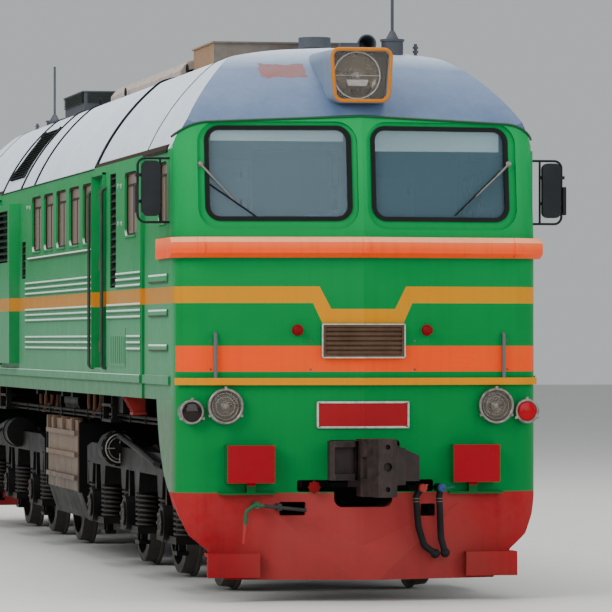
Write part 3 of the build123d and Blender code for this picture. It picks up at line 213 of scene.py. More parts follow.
def bodyEnamel(name, nose, **look):
    # alkyd enamel, sprayed: deep and glossy on what faces forwards or back, chalked on the flanks,
    # with pale dust and a painted highlight on every upward face, painted highlight and shade on
    # every bead, painted shade on faces that look down, and painted near-black shade on low inward
    # faces
    add, shader, spot, at, facing = paint = newMaterial(name)
    height = at["Z"]
    sideways, along, across = (add("ABSOLUTE", part)
                               for part in (facing["X"], at["Y"], at["X"]))
    chalked = add("MapRange", sideways, *bodyPaint["chalkTurn"])
    if not nose:
        # the small vent panels are chalked all over
        low = add("LESS_THAN", height, pressed["ventTop"])
        vent = add("MULTIPLY", bandMask(add, along, *pressed["vent"]), low)
        chalked = add("MAXIMUM", chalked, vent)
    front = add("MixRGB", add("MapRange", height, 2.3, 3.6), bodyPaint["frontGreen"],
                bodyPaint["frontUpper"])
    flank = bodyPaint["flank"]
    chalk = flank[0][1]
    for (low, lowHex), (high, highHex) in zip(flank, flank[1:]):
        chalk = add("MixRGB", add("MapRange", height, low, high), chalk, highHex)
    colour = add("MixRGB", chalked, front, chalk)
    yellow = add("MixRGB", chalked, bodyPaint["frontYellow"], bodyPaint["flankYellow"])
    if nose:
        top, foot = (add("MapRange", across, *stripes[edge]) for edge in ("dipTop", "dipFoot"))
        below = add("LESS_THAN", height, top)
        above = add("GREATER_THAN", height, foot)
        colour = add("MixRGB", add("MULTIPLY", below, above), colour, yellow)
        forwards = add("MapRange", sideways, *bodyPaint["orangeTurn"], 1.0, 0.0)
        band = add("MULTIPLY", bandMask(add, height, *stripes["orange"]), forwards)
        colour = add("MixRGB", band, colour, bodyPaint["frontOrange"])
    else:
        colour = add("MixRGB", bandMask(add, height, *stripes["yellow"]), colour, yellow)
        # pale dust with a painted highlight on upward faces, painted shade on downward faces
        for low, high, share, layerHex in ((0.2, 0.6, 0.9, "topDustAndHighlight"),
                                           (-0.2, -0.6, 0.85, "underShade")):
            mask = add("MapRange", facing["Z"], low, high, 0.0, share)
            colour = add("MixRGB", mask, colour, bodyPaint[layerHex])
        colour = beadLight(add, colour, height, across, sideways, vent)
    # painted shade, near black, on the low faces that look inwards or down
    outward = add("MULTIPLY", at["X"], facing["X"])
    outward = add("MULTIPLY_ADD", at["Y"], facing["Y"], outward)
    inside = add("LESS_THAN", outward, 0.3)
    lowDown = add("LESS_THAN", height, bodyPaint["insideShadeTop"])
    shadedInside = add("MULTIPLY", inside, lowDown)
    weather(paint, add("MixRGB", shadedInside, colour, bodyPaint["insideShade"]), **look)


bodyEnamel("noseEnamelSprayed", True, dust=0.04, dustHex="3f9a60", grimeHex="0f4a26", fade=0.12,
           fadeHex="00a052", roughness=0.3, coat=0.03, lowDirt=(0.8, 1.7, 0.3), specular=0.05)
bodyEnamel("sideEnamelChalked", False, dust=0.10, dustHex="7a9c84", streaks=0.25, grimeHex="2f5a3f",
           fade=0.12, fadeHex="6fa085", roughness=0.42, coat=0.03, lowDirt=(1.45, 2.0, 0.35),
           specular=0.06)


def plainPaint(name, colourHex, **look):
    weather(newMaterial(name), colourHex, **look)


# red oxide enamel, brushed on and scoured by ballast: matt, faded, dusty at the foot
plainPaint("pilotEnamelBrushed", "980a1a", middleDust=0.45, dust=0.3, dustHex="a04c48", streaks=0.3,
           roughness=0.5, chips=0.4, chipHex="5a2a20", fade=0.4, fadeHex="a8403a",
           lowDirt=(0.1, 0.75, 0.8), grimeHex="4a1a16", specular=0.06)
# enamels and lacquers, brushed or dipped: plain colours with a thin film of dust
plainPaint("ledgeEnamelBrushed", "d88600", dust=0.1, dustHex="9a7a40", streaks=0.12, roughness=0.42,
           specular=0.05)
plainPaint("roofGearPaintGrey", "3c4047", dust=0.35, dustHex="5c6066", streaks=0.3, roughness=0.5)
plainPaint("hookPaintPale", "9ab8a6", roughness=0.5)
plainPaint("cabLiningPaint", "6fa09a", dust=0.1, streaks=0.0, roughness=0.5)
plainPaint("cabinetPaintGrey", "9aa8b8", dust=0.1, streaks=0.0, roughness=0.5)
plainPaint("louvrePaintDusty", "0f1611", dust=0.5, dustHex="33463a", roughness=0.6)
plainPaint("plateEnamelRed", "961820", dust=0.12, dustHex="9a3a38", specular=0.06)
plainPaint("knobEnamelRed", "7a0810", dust=0.25, dustHex="4a1a18", specular=0.1)
plainPaint("rimEnamelOrange", "c47404", dustHex="9a6a30", streaks=0.15, coat=0.1, specular=0.1)
plainPaint("lampCaseBlack", "131415", dust=0.3, dustHex="33302c", roughness=0.5)
plainPaint("boxPlasticBlue", "1c5a9a", dust=0.1, streaks=0.0)
plainPaint("cockEnamelRed", "a01812", dust=0.25, roughness=0.45)
plainPaint("cockEnamelBlue", "143a72", dust=0.25, roughness=0.45)
plainPaint("sealPaintBrown", "2c2217", dust=0.4, dustHex="4a3c2a", streaks=0.3, roughness=0.6,
           specular=0.15)
plainPaint("strapRubberPainted", "0d1012", dust=0.3, dustHex="2c3136", roughness=0.55,
           specular=0.15)
# the brow lip is a real raised lip; its darker green is painted shade along the brow
plainPaint("browEnamelPaintedShade", "013d1c", dust=0.15, dustHex="1a6a40", coat=0.1)
# black oil paint under road dust: matt, brown in the hollows
plainPaint("frameOilBlack", "060505", dust=0.35, dustHex="1a1512", streaks=0.3, roughness=0.42,
           fade=0.4, fadeHex="0d0b0a", specular=0.16)
plainPaint("tankOilBlack", "060607", dust=0.3, dustHex="17120e", streaks=0.3, roughness=0.42,
           fade=0.3, fadeHex="0b0d0f", specular=0.12)
plainPaint("motorCastOily", "0c0b0a", dust=0.35, dustHex="26201a", streaks=0.3, roughness=0.55,
           specular=0.16)
# sheet steel, pressed: its paint rubbed to a brown film, streaked by rain
plainPaint("hatchSteelWorn", "6a5544", dust=0.35, dustHex="7a6654", streaks=0.6, chips=0.8,
           specular=0.3, lowDirt=(0.7, 1.0, 0.85), grimeHex="0c0907")
plainPaint("grilleSteelRusty", "5c4636", dust=0.6, dustHex="36200f", streaks=0.5, grimeHex="3a2216",
           roughness=0.5, chips=1.0, specular=0.15)
# red lead paint, brushed on castings: dull, dusty
plainPaint("jackEnamelRed", "8e1a12", dust=0.35, dustHex="6a3a30", streaks=0.2, roughness=0.5)
# cloth-braided cable sheaths, impregnated: brown with dust
plainPaint("cableSheathBraided", "6a4632", dust=0.4, dustHex="8a6a52", roughness=0.7, bump=0.5)
# woven blind, coated white: pale blue-green, with a painted glow standing in for daylight through
# the cloth
plainPaint("blindClothPaintedGlow", "e4fafc", dust=0.1, dustHex="c0d8da", streaks=0.05, roughness=0.8)
# the emission is a painted glow; the blind is no lamp
setInputs(finishes["blindClothPaintedGlow"].node_tree.nodes["Principled BSDF"],
          {"Emission Color": "c8e6ea", "Emission Strength": 0.35})


def boxEnamel():
    # two enamels, brushed: clean red on the box faces, the body's green on sides and brackets
    add, shader, spot, at, facing = paint = newMaterial("boxEnamelBrushed")
    ends = add("MapRange", add("ABSOLUTE", facing["Y"]), 0.95, 0.97)
    face = add("MULTIPLY", ends, add("MapRange", at["Z"], 0.905, 0.915))
    weather(paint, add("MixRGB", face, "02602c", "96061a"), dust=0.06, dustHex="5a4a40",
            streaks=0.12, specular=0.06)


def visorEnamel():
    # orange enamel, sprayed: bright on its face, with a painted pale reflection towards its top and
    # where it looks up, and a film of dust
    add, shader, spot, at, facing = paint = newMaterial("visorEnamelSprayed")
    # painted reflection: paler towards the top edge and on faces that look up
    paintedTopSheen = add("MixRGB", add("MapRange", at["Z"], 2.77, 2.85, 0.0, 0.45), "fb4a06", "ff9a62")
    colour = add("MixRGB", add("MapRange", facing["Z"], 0.2, 0.6, 0.0, 0.75), paintedTopSheen, "ffb48c")
    weather(paint, colour, dust=0.12, dustHex="f08a50", streaks=0.2, grimeHex="9a3a10",
            roughness=0.35, specular=0.08)


def handrailPaint():
    # steel tube: grey on the noses, the body's dark green along the sides; the uncoupling lever has
    # a green elbow, an oily rod and a red handle
    add, shader, spot, at, facing = paint = newMaterial("handrailPaintWorn")
    along, across = (add("ABSOLUTE", at[axis]) for axis in "YX")
    rail = add("MixRGB", add("MapRange", along, 7.60, 7.62), "1f3d2c", "585f60")
    low = add("LESS_THAN", at["Z"], 0.80)
    ahead = add("GREATER_THAN", along, 7.90)
    lever = add("MixRGB", add("MapRange", across, 0.80, 0.82), "17191a", "07502a")
    lever = add("MixRGB", add("MapRange", at["Z"], 0.60, 0.62, 1.0, 0.0), lever, "a01018")
    colour = add("MixRGB", add("MULTIPLY", low, ahead), rail, lever)
    weather(paint, colour, dust=0.25, dustHex="6a6a62", streaks=0.2, roughness=0.45, chips=0.5,
            specular=0.3)


# bare primer on the front dome: from and to, across and in height
primerPatch = {"X": (-0.70, -0.34), "Z": (4.165, 4.285)}


def roofSilver(name, flankHex):
    # aluminium-pigment roof paint, brushed: pale and silky on top, with painted blue-grey shade
    # where it faces forwards or back, darker low on those faces, with soot patches, a torn primer
    # patch and rain streaks
    add, shader, spot, at, facing = paint = newMaterial(name)
    # painted shade: blue-grey on faces looking forwards or back, darker low down on them
    ends = add("MapRange", add("ABSOLUTE", facing["Y"]), 0.10, 0.42)
    silver = add("MixRGB", ends, flankHex, "53698a")
    low = add("MapRange", at["Z"], 3.85, 4.25, 0.55, 0.0)
    shaded = add("MixRGB", add("MULTIPLY", low, ends), silver, "3c5578")
    ragged = add("TexNoise", {"Vector": spot, "Scale": 9.0, "Detail": 8.0, "Roughness": 0.75})
    shift = add("SUBTRACT", ragged, 0.5)
    torn = add("MapRange", facing["Y"], -0.1, -0.2)
    for axis, (near, far) in primerPatch.items():
        warped = add("MULTIPLY_ADD", shift, 0.10, at[axis])
        torn = add("MULTIPLY", torn, bandMask(add, warped, near, far, 0.004))
    weather(paint, add("MixRGB", torn, shaded, "74372e"), dust=0.16, dustHex="a8b6c6", streaks=0.25,
            grimeHex="485468", coat=0.02, fade=0.18, fadeHex="8c9cb0", bump=0.35, specular=0.14)


def hatchRust():
    # roof paint worn to rusty sheet on the sides of the hatch's front box, pale on its lids
    add, shader, spot, at, facing = paint = newMaterial("hatchPaintRusty")
    box = add("MapRange", at["Y"], -3.42, -3.38, 1.0, 0.0)
    upright = add("MapRange", add("ABSOLUTE", facing["X"]), 0.6, 0.9)
    upright = add("MULTIPLY", upright, box)
    colour = add("MixRGB", upright, add("MixRGB", box, "a89d93", "3a3430"), "8c6234")
    weather(paint, colour, dust=0.4, dustHex="8f7f70", streaks=0.45, grimeHex="4a3322",
            roughness=0.6, chips=0.9, chipHex="6b3f22", fade=0.3, fadeHex="b0a89e")


boxEnamel()
visorEnamel()
handrailPaint()
roofSilver("roofPaintSilver", "dae4ee")
roofSilver("lampHousingPaintSilver", "74849a")
hatchRust()
print("paints mixed")


def bareMetal(name, colourHex, roughness, dustHex, dust, scale=8.0, metallic=1.0):
    add, shader, spot, at, facing = newMaterial(name)
    rust = add("TexNoise", {"Vector": spot, "Scale": scale, "Detail": 8.0, "Roughness": 0.7})
    mask = add("MapRange", rust, 0.4, 0.65, 0.0, dust)
    setInputs(shader, {
        "Base Color": add("MixRGB", mask, colourHex, dustHex),
        "Metallic": add("MapRange", mask, 0.0, 1.0, metallic, 0.0),
        "Roughness": add("MapRange", rust, 0.3, 0.7, roughness, min(1.0, roughness + 0.35)),
        "Normal": add("Bump", {"Height": rust, "Strength": 0.3, "Distance": 0.002})})


# carbon steel castings and forgings: rust film over dull metal
bareMetal("couplerSteelCast", "1a1312", 0.4, "34201a", 0.8, metallic=0.4)
bareMetal("wheelSteelRolled", "4a4642", 0.4, "2a1f19", 0.9, metallic=0.9)
bareMetal("springSteelDusty", "3a3632", 0.45, "2c2520", 0.7, metallic=0.6)
bareMetal("wiperSteelBrushed", "8d8a84", 0.4, "55504a", 0.4, scale=30.0, metallic=0.8)
bareMetal("boltSteelRusted", "6a625a", 0.45, "4a3226", 0.7, scale=40.0, metallic=0.7)
# chromed and turned brass rims and silvered bowls, dulled by soot
bareMetal("lampChromeDulled", "8f8b86", 0.22, "2c2824", 0.75, scale=14.0)
bareMetal("reflectorSilvered", "6e665a", 0.14, "2a241e", 0.6, scale=7.0)
# rolled aluminium strip, weathered: dull white metal
bareMetal("aluminiumStripDull", "bdbbb6", 0.35, "7c766e", 0.4, scale=20.0, metallic=0.9)


def darkPlastic(name, colourHex, roughness, dustHex, scale):
    add, shader, spot, at, facing = newMaterial(name)
    grain = add("TexNoise", {"Vector": spot, "Scale": scale, "Detail": 3.0})
    film = add("TexNoise", {"Vector": spot, "Scale": 5.0, "Detail": 6.0})
    setInputs(shader, {
        "Base Color": add("MixRGB", add("MapRange", film, 0.4, 0.7, 0.0, 0.45), colourHex, dustHex),
        "Roughness": roughness, "Specular IOR Level": 0.2,
        "Normal": add("Bump", {"Height": grain, "Strength": 0.25, "Distance": 0.001})})


# EPDM rubber and ABS: black, greyed by weather; the moulded grain is drawn coarser to show
darkPlastic("gasketRubberMoulded", "040606", 0.55, "0e1414", 300.0)
darkPlastic("hoseRubberWound", "0a0c0e", 0.6, "1c1f22", 220.0)
darkPlastic("mirrorShellMoulded", "12161a", 0.45, "252b31", 260.0)
# woven seat cloth: dull, dark blue-grey
darkPlastic("seatClothWoven", "2c2f3a", 0.9, "3c3f48", 400.0)


def sheetGlass(name, tintHex, alpha, roughness=0.02, specular=0.5):
    # float glass, tempered: see-through, strong sky gloss, a thin film of dust
    add, shader, spot, at, facing = newMaterial(name)
    film = add("TexNoise", {"Vector": spot, "Scale": 2.0, "Detail": 5.0})
    setInputs(shader, {
        "Base Color": tintHex, "Alpha": alpha, "Specular IOR Level": specular, "IOR": 1.52,
        "Roughness": add("MapRange", film, 0.3, 0.7, roughness, roughness + 0.10)})


sheetGlass("screenGlassTempered", "587684", 0.36, 0.02, 0.4)
sheetGlass("sideGlassDusty", "6e5a50", 0.95, 0.25, 0.2)
sheetGlass("lampGlassClear", "6a6258", 0.14)
# cast acrylic lenses: deep colour, soft gloss
sheetGlass("lensPlasticRed", "a80014", 0.94, 0.08, 0.15)
sheetGlass("lensGlassDark", "1c0e0c", 0.85, 0.05, 0.3)
print("metals, plastics and glass mixed")

# which CAD nodes wear each finish
nodeFinishes = {
    "noseEnamelSprayed": "nose_front nose_rear",
    "sideEnamelChalked": "side_left side_right cooler_boxes door_*_*",
    "pilotEnamelBrushed": "pilot_*",
    "boxEnamelBrushed": "nose_boxes",
    "visorEnamelSprayed": "visors",
    "ledgeEnamelBrushed": "nose_ledges",
    "roofPaintSilver": "cab_roofs engine_roof cooler_roof",
    "lampHousingPaintSilver": "headlamps",
    "hatchPaintRusty": "roof_hatch",
    "roofGearPaintGrey": "fan_housing fan_rotor fan_drive roof_fittings",
    "frameOilBlack": "underframe air_reservoirs door_steps bogie_*_frame bogie_*_axle_boxes "
                     "bogie_*_brakes",
    "tankOilBlack": "fuel_tank",
    "motorCastOily": "engine_block bogie_*_motors",
    "hatchSteelWorn": "tank_hatches",
    "jackEnamelRed": "jack_brackets",
    "cableSheathBraided": "motor_cables",
    "handrailPaintWorn": "handrails",
    "cabLiningPaint": "cab_bulkheads cab_desks",
    "louvrePaintDusty": "side_louvres roof_louvres",
    "grilleSteelRusty": "nose_grilles",
    "couplerSteelCast": "coupler_*",
    "wheelSteelRolled": "wheelset_*",
    "lampChromeDulled": "nose_lamps",
    "gasketRubberMoulded": "windscreen_gaskets",
    "hoseRubberWound": "air_hoses",
    "mirrorShellMoulded": "mirrors",
    "seatClothWoven": "cab_seats",
    "screenGlassTempered": "windscreens",
    "sideGlassDusty": "side_windows",
}
for finish, names in nodeFinishes.items():
    for pattern in names.split():
        for name in matching(nodes, pattern):
            nodes[name].data.materials.clear()
            nodes[name].data.materials.append(finishes[finish])
print("finishes set")


class Shape:
    # plain lists of points and faces
    def __init__(self):
        self.points = []
        self.faces = []

    def add(self, points, faces):
        base = len(self.points)
        self.points += [Vector(point) for point in points]
        self.faces += [tuple(base + corner for corner in face) for face in faces]

    def loft(self, rings, closed=False):
        # walls from ring to ring, with a cap at either end unless the last meets the first
        count, sides = len(rings), len(rings[0])
        faces = []
        for step in range(count if closed else count - 1):
            near, far = step * sides, (step + 1) % count * sides
            for turn in range(sides):
                after = (turn + 1) % sides
                faces.append((near + turn, near + after, far + after, far + turn))
        if not closed:
            faces += [tuple(range(sides))[::-1], tuple(range((count - 1) * sides, count * sides))]
        self.add([point for ring in rings for point in ring], faces)


def spot(across, station, height):
    # from the middle, behind the front nose tip and above the rail head
    return Vector((across, station - noseTip, height + railTop))


def noseFace(across, height, out=0.0):
    # on the front's V face, or out in front of it; above the visor the face leans back
    lean = max(0.0, height - visorTop) * screenLean
    return spot(across, noseSlope * abs(across) + lean - out, height)


def crossAxes(direction):
    # two directions square to this one and to each other
    direction = Vector(direction).normalized()
    helper = Vector((0, 0, 1)) if abs(direction.z) < 0.9 else Vector((1, 0, 0))
    side = direction.cross(helper).normalized()
    return side, side.cross(direction).normalized()


def circleOf(centre, radius, along, steps=36, axes=None):
    # points round a centre, square to a direction or in the plane of two given axes
    side, up = axes or crossAxes(along)
    turns = [2 * math.pi * step / steps for step in range(steps)]
    return [Vector(centre) + (side * math.cos(turn) + up * math.sin(turn)) * radius
            for turn in turns]


def addTube(shape, path, radius, sides=10, closed=False):
    # a round bar along the path, its rings carried on without twist
    path = [Vector(point) for point in path]
    count = len(path)
    rings, side = [], None
    for index, point in enumerate(path):
        ahead = path[(index + 1) % count] if closed or index < count - 1 else point
        behind = path[index - 1] if closed or index else point
        direction = (ahead - behind).normalized()
        if side is None:
            side = crossAxes(direction)[0]
        side = (side - direction * side.dot(direction)).normalized()
        thick = radius[index] if isinstance(radius, list) else radius
        axes = side, side.cross(direction).normalized()
        rings.append(circleOf(point, thick, direction, sides, axes))
    shape.loft(rings, closed)


def addLathe(shape, profile, centre, axis, sides=32, ring=False):
    # pairs of radius and distance along the axis, spun round it; a ring's profile is a closed loop
    axis = Vector(axis).normalized()
    shape.loft([circleOf(Vector(centre) + axis * along, max(radius, 0.0001), axis, sides)
                for radius, along in profile], ring)


def addSlab(shape, outline, depth):
    # a flat outline drawn out along depth
    shape.loft([outline, [point + Vector(depth) for point in outline]])


def addBox(shape, low, high):
    (x0, y0, z0), (x1, y1, z1) = low, high
    foot = [Vector((x, y, z0)) for x, y in ((x0, y0), (x1, y0), (x1, y1), (x0, y1))]
    addSlab(shape, foot, (0, 0, z1 - z0))


def addRing(shape, inner, outer, depth):
    # a flat frame between two outlines with the same number of points, drawn out along depth
    backs = [[point + Vector(depth) for point in outline] for outline in (outer, inner)]
    shape.loft([inner, outer] + backs, True)


def rounded(path, radius, steps=5, closed=False):
    # the path with its corners turned into arcs
    found = [] if closed else [path[0]]
    for index in range(len(path)) if closed else range(1, len(path) - 1):
        here = path[index]
        toBack, toFront = path[index - 1] - here, path[(index + 1) % len(path)] - here
        reach = min(radius, toBack.length * 0.49, toFront.length * 0.49)
        start, end = here + toBack.normalized() * reach, here + toFront.normalized() * reach
        for step in range(steps + 1):
            share = step / steps
            found.append(start.lerp(here, share).lerp(here.lerp(end, share), share))
    return found if closed else found + [path[-1]]


def roundedRect(width, height, radius, steps=5):
    # corner points of a rounded rectangle round its middle, in two plain numbers
    found = []
    for cx, cy, start in ((1, 1, 0), (-1, 1, 90), (-1, -1, 180), (1, -1, 270)):
        for step in range(steps + 1):
            angle = math.radians(start + 90 * step / steps)
            found.append((cx * (width / 2 - radius) + radius * math.cos(angle),
                          cy * (height / 2 - radius) + radius * math.sin(angle)))
    return found


def doubled(shape, along):
    # the shape and its copy on the other side, at the same end or turned to the other one
    copy = Shape()
    copy.add(shape.points, shape.faces)
    copy.add([(-p.x, p.y * along, p.z) for p in shape.points],
             [face[::-along] for face in shape.faces])
    return copy


def mirrored(shape):
    return doubled(shape, 1)


def bothEnds(shape):
    return doubled(shape, -1)


def placed(name, mesh, body, slot, smooth):
    # a finished mesh as a smooth-shaded piece on its body
    for face in mesh.polygons:
        face.use_smooth = True
    mesh.set_sharp_from_angle(angle=math.radians(smooth))
    piece = bpy.data.objects.new(name, mesh)
    bpy.context.scene.collection.objects.link(piece)
    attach(piece, body)


def newPiece(name, shape, finish, slot, body="body", bevel=0.0, smooth=35.0):
    mesh = bpy.data.meshes.new(name)
    build = bmesh.new()
    corners = [build.verts.new(point) for point in shape.points]
    for face in shape.faces:
        build.faces.new([corners[index] for index in face])
    bmesh.ops.recalc_face_normals(build, faces=build.faces)
    if bevel:
        sharp = [edge for edge in build.edges
                 if len(edge.link_faces) == 2 and edge.calc_face_angle() > math.radians(40)]
        bmesh.ops.bevel(build, geom=sharp, offset=bevel, segments=2, affect="EDGES",
                        clamp_overlap=True)
    build.to_mesh(mesh)
    build.free()
    mesh.materials.append(finishes[finish])
    placed(name, mesh, body, slot, smooth)


# wipers: an arm from its pivot to the middle of a long blade, lying on each screen
wiper = {
    "arms": [((-1.267, 3.423), (-1.009, 3.140)), ((1.235, 3.439), (0.950, 3.177))],
    "blades": [((-1.194, 3.265), (-0.821, 3.000)), ((1.165, 3.382), (0.775, 3.024))],
    "glassDepth": 0.052, "pivotDepth": 0.034, "kneeAt": 0.25, "lean": 0.12,
    # how far out: the arm at its root, knee and tip, and the blade
    "rootOut": 0.022, "kneeOut": -0.006, "tipOut": 0.022, "bladeOut": 0.012,
    "armBend": 0.05, "armRadii": [0.009] * 6 + [0.006] * 2, "bladeRadius": 0.006,
    "boss": [(0.024, 0.0), (0.024, 0.012), (0.017, 0.018), (0.017, 0.034), (0.008, 0.040)],
    # spring bars on the blade, then the posts between them: from, to, lowest, top, radius
    "bars": [(share - 0.03, share + 0.03, 0.010, 0.010, 0.005)
             for share in (0.08, 0.36, 0.64, 0.92)]
            + [(0.2, 0.8, 0.014, 0.014, 0.004)]
            + [(share, share, 0.002, 0.018, 0.006) for share in (0.25, 0.5, 0.75)],
}


def buildWipers():
    arms, blades = Shape(), Shape()
    outward = Vector((0, -1, wiper["lean"])).normalized()
    for (pivot, tip), (top, foot) in zip(wiper["arms"], wiper["blades"]):
        depth = wiper["glassDepth"]
        boss = noseFace(*pivot, -wiper["pivotDepth"])
        addLathe(arms, wiper["boss"], boss, outward, 16)
        across, height = Vector(pivot).lerp(Vector(tip), wiper["kneeAt"])
        path = [boss + outward * wiper["rootOut"], noseFace(across, height, wiper["kneeOut"]),
                noseFace(*tip, wiper["tipOut"] - depth)]
        addTube(arms, rounded(path, wiper["armBend"]), wiper["armRadii"], 8)
        head, end = (noseFace(*place, wiper["bladeOut"] - depth) for place in (top, foot))
        addTube(blades, [head, end], wiper["bladeRadius"], 8)
        for start, stop, low, high, radius in wiper["bars"]:
            bar = [head.lerp(end, start) + outward * low, head.lerp(end, stop) + outward * high]
            addTube(blades, bar, radius, 6)
    newPiece("wiper_arms", bothEnds(arms), "wiperSteelBrushed", "handrail_metal")
    newPiece("wiper_blades", bothEnds(blades), "gasketRubberMoulded", "rubber")


# blank plate in a pale frame and the grille's rim, both folded to the V of the nose
nosePlate = {"half": 0.373, "low": 1.336, "high": 1.549, "frame": 0.016, "out": 0.017,
             "depth": 0.014, "sheetOut": 0.010, "sheetDepth": 0.008}
grilleRim = {"half": 0.337, "low": 1.889, "high": 2.163, "frame": 0.011, "out": 0.039,
             "depth": 0.014}


def foldedBox(shape, x0, x1, z0, z1, out, depth):
    corners = ((x0, z0), (x1, z0), (x1, z1), (x0, z1))
    addSlab(shape, [noseFace(x, z, out) for x, z in corners], (0, depth, 0))


def foldedFrame(look):
    # four bars round a rectangle that is folded along the middle of the nose
    bars = Shape()
    low, high, half, edge, out = look["low"], look["high"], look["half"], look["frame"], look["out"]
    for sign in (-1, 1):
        side = sign * half
        for x0, x1, z0, z1 in ((0, side, low, low + edge), (0, side, high - edge, high),
                               (side - sign * edge, side, low, high)):
            foldedBox(bars, x0, x1, z0, z1, out, look["depth"])
    return bothEnds(bars)


def buildNosePlates():
    plate, look = Shape(), nosePlate
    for side in (-look["half"], look["half"]):
        foldedBox(plate, 0, side, look["low"], look["high"], look["sheetOut"], look["sheetDepth"])
    newPiece("blank_plates", bothEnds(plate), "plateEnamelRed", "red_paint")
    for name, look, slot, bevel in (("plate_frames", nosePlate, "handrail_metal", 0.003),
                                    ("grille_rims", grilleRim, "grille_metal", 0.002)):
        newPiece(name, foldedFrame(look), "aluminiumStripDull", slot, bevel=bevel)


# red marker knobs beside the grille, and the small red hand wheel in the slot by the coupler
knob = {
    "across": 0.521, "height": 2.110, "sunk": 0.002, "wheel": (-0.400, 0.018, 0.873),
    "grips": 8, "gripsOut": 0.011, "gripsRadius": 0.043,
    "grip": [(0.008, -0.010), (0.009, 0.0), (0.008, 0.010)],
    "outline": [(0.046, 0.0), (0.046, 0.008), (0.032, 0.012), (0.030, 0.030), (0.040, 0.036),
                (0.040, 0.052), (0.032, 0.062), (0.014, 0.068), (0.0, 0.069)],
    "wheelOutline": [(0.010, -0.10), (0.010, 0.0), (0.042, 0.0), (0.046, 0.010), (0.042, 0.022),
                     (0.0, 0.026)],
}


def buildKnobs():
    knobs, ahead = Shape(), Vector((0, -1, 0))
    for across in (-knob["across"], knob["across"]):
        place = noseFace(across, knob["height"], -knob["sunk"])
        addLathe(knobs, knob["outline"], place, ahead, 24)
    wheel = spot(*knob["wheel"])
    addLathe(knobs, knob["wheelOutline"], wheel, ahead, 24)
    centre = wheel + ahead * knob["gripsOut"]
    for grip in circleOf(centre, knob["gripsRadius"], ahead, knob["grips"]):
        addLathe(knobs, knob["grip"], grip, ahead, 10)
    newPiece("marker_knobs", bothEnds(knobs), "knobEnamelRed", "red_paint")


# nose lamps: rim ring, silvered bowl or stepped lens, bulb with its cap, and the cover glass
noseLamp = {
    # across, station of the front, height, radius
    "big": (1.092, 0.095, 1.510, 0.142), "small": (1.353, 0.142, 1.466, 0.098),
    "bulbCap": [(0.036, -0.046), (0.036, -0.030), (0.028, -0.024), (0.020, -0.012), (0.0, -0.008)],
    "steps": (1.0, 0.86, 0.85, 0.70, 0.69, 0.52, 0.51, 0.3, 0.29, 0.0),
    "wires": (0.62, 0.86), "wireDepth": 0.018, "wireRadius": 0.0035,
    "lugs": 3, "lugsOut": 0.004, "lug": ((-0.010, -0.014, -0.010), (0.010, 0.006, 0.010)),
    # the rim's round edge, and the rest of its section: out from the radius, and ahead
    "rimInset": 0.010, "rimAhead": 0.002, "rimRound": 0.012,
    "rimBack": [(-0.022, 0.002), (-0.022, -0.010), (0.0, -0.010), (0.002, 0.0)],
    "bowlInset": 0.022, "bowlDepth": 0.046, "glassInset": 0.020, "lensDepth": 0.012,
}


def arcProfile(radius, depth, angles, base=0.0):
    # pairs of radius and distance along a dome, from its edge at 90 degrees to its middle at 0
    turns = [math.radians(angle) for angle in angles]
    return [(radius * math.sin(turn), base + depth * math.cos(turn)) for turn in turns]


def buildNoseLamps():
    rims, bowls, covers, reds, darks, bulbs = (Shape() for piece in range(6))
    ahead = Vector((0, -1, 0))
    for kind in ("big", "small"):
        across, station, height, radius = noseLamp[kind]
        for sign in (-1, 1):
            centre = spot(sign * across, station, height)
            inner, glass = radius - noseLamp["bowlInset"], radius - noseLamp["glassInset"]
            edge, thick = radius - noseLamp["rimInset"], noseLamp["rimRound"]
            rim = [(edge + thick * math.cos(turn), noseLamp["rimAhead"] + thick * math.sin(turn))
                   for turn in (math.pi * step / 12 for step in range(13))]
            rim += [(radius + out, along) for out, along in noseLamp["rimBack"]]
            addLathe(rims, rim, centre, ahead, 48, ring=True)
            for turn in range(noseLamp["lugs"]):
                angle = math.radians(90 + 360 / noseLamp["lugs"] * turn)
                outward = Vector((math.cos(angle), 0, math.sin(angle)))
                lug = centre + outward * (radius + noseLamp["lugsOut"])
                addBox(rims, *(lug + Vector(corner) for corner in noseLamp["lug"]))
            lens = arcProfile(glass, noseLamp["lensDepth"], range(90, -1, -15), 0.004)
            lens += [(0.0, 0.010), (glass, -0.002)]
            if kind == "small":
                addLathe(reds if sign > 0 else darks, lens, centre, ahead, 48)
                steps = [(inner * share, -0.006 - 0.004 * (index % 2))
                         for index, share in enumerate(noseLamp["steps"])]
                addLathe(bowls, steps + [(0.0, -0.013), (inner, -0.013)], centre, ahead, 40)
                continue
            addLathe(covers, lens, centre, ahead, 48)
            bowl = arcProfile(inner, -noseLamp["bowlDepth"], (88, 74, 60, 46, 32, 20))
            bowl += [(r + 0.001, d - 0.002) for r, d in bowl[::-1]]
            addLathe(bowls, bowl, centre, ahead, 48, ring=True)
            addLathe(bulbs, noseLamp["bulbCap"], centre, ahead, 24)
            for share in noseLamp["wires"]:
                wire = circleOf(centre - ahead * noseLamp["wireDepth"], inner * share, ahead)
                addTube(bulbs, wire, noseLamp["wireRadius"], 6, closed=True)
    for name, shape, finish, slot in (
            ("lamp_rims", rims, "lampChromeDulled", "lamp_metal"),
            ("lamp_bowls", bowls, "reflectorSilvered", "lamp_metal"),
            ("lamp_bulb_caps", bulbs, "aluminiumStripDull", "lamp_metal"),
            ("lamp_cover_glass", covers, "lampGlassClear", "glass"),
            ("lamp_lens_red", reds, "lensPlasticRed", "glass"),
            ("lamp_lens_dark", darks, "lensGlassDark", "glass")):
        newPiece(name, bothEnds(shape), finish, slot)


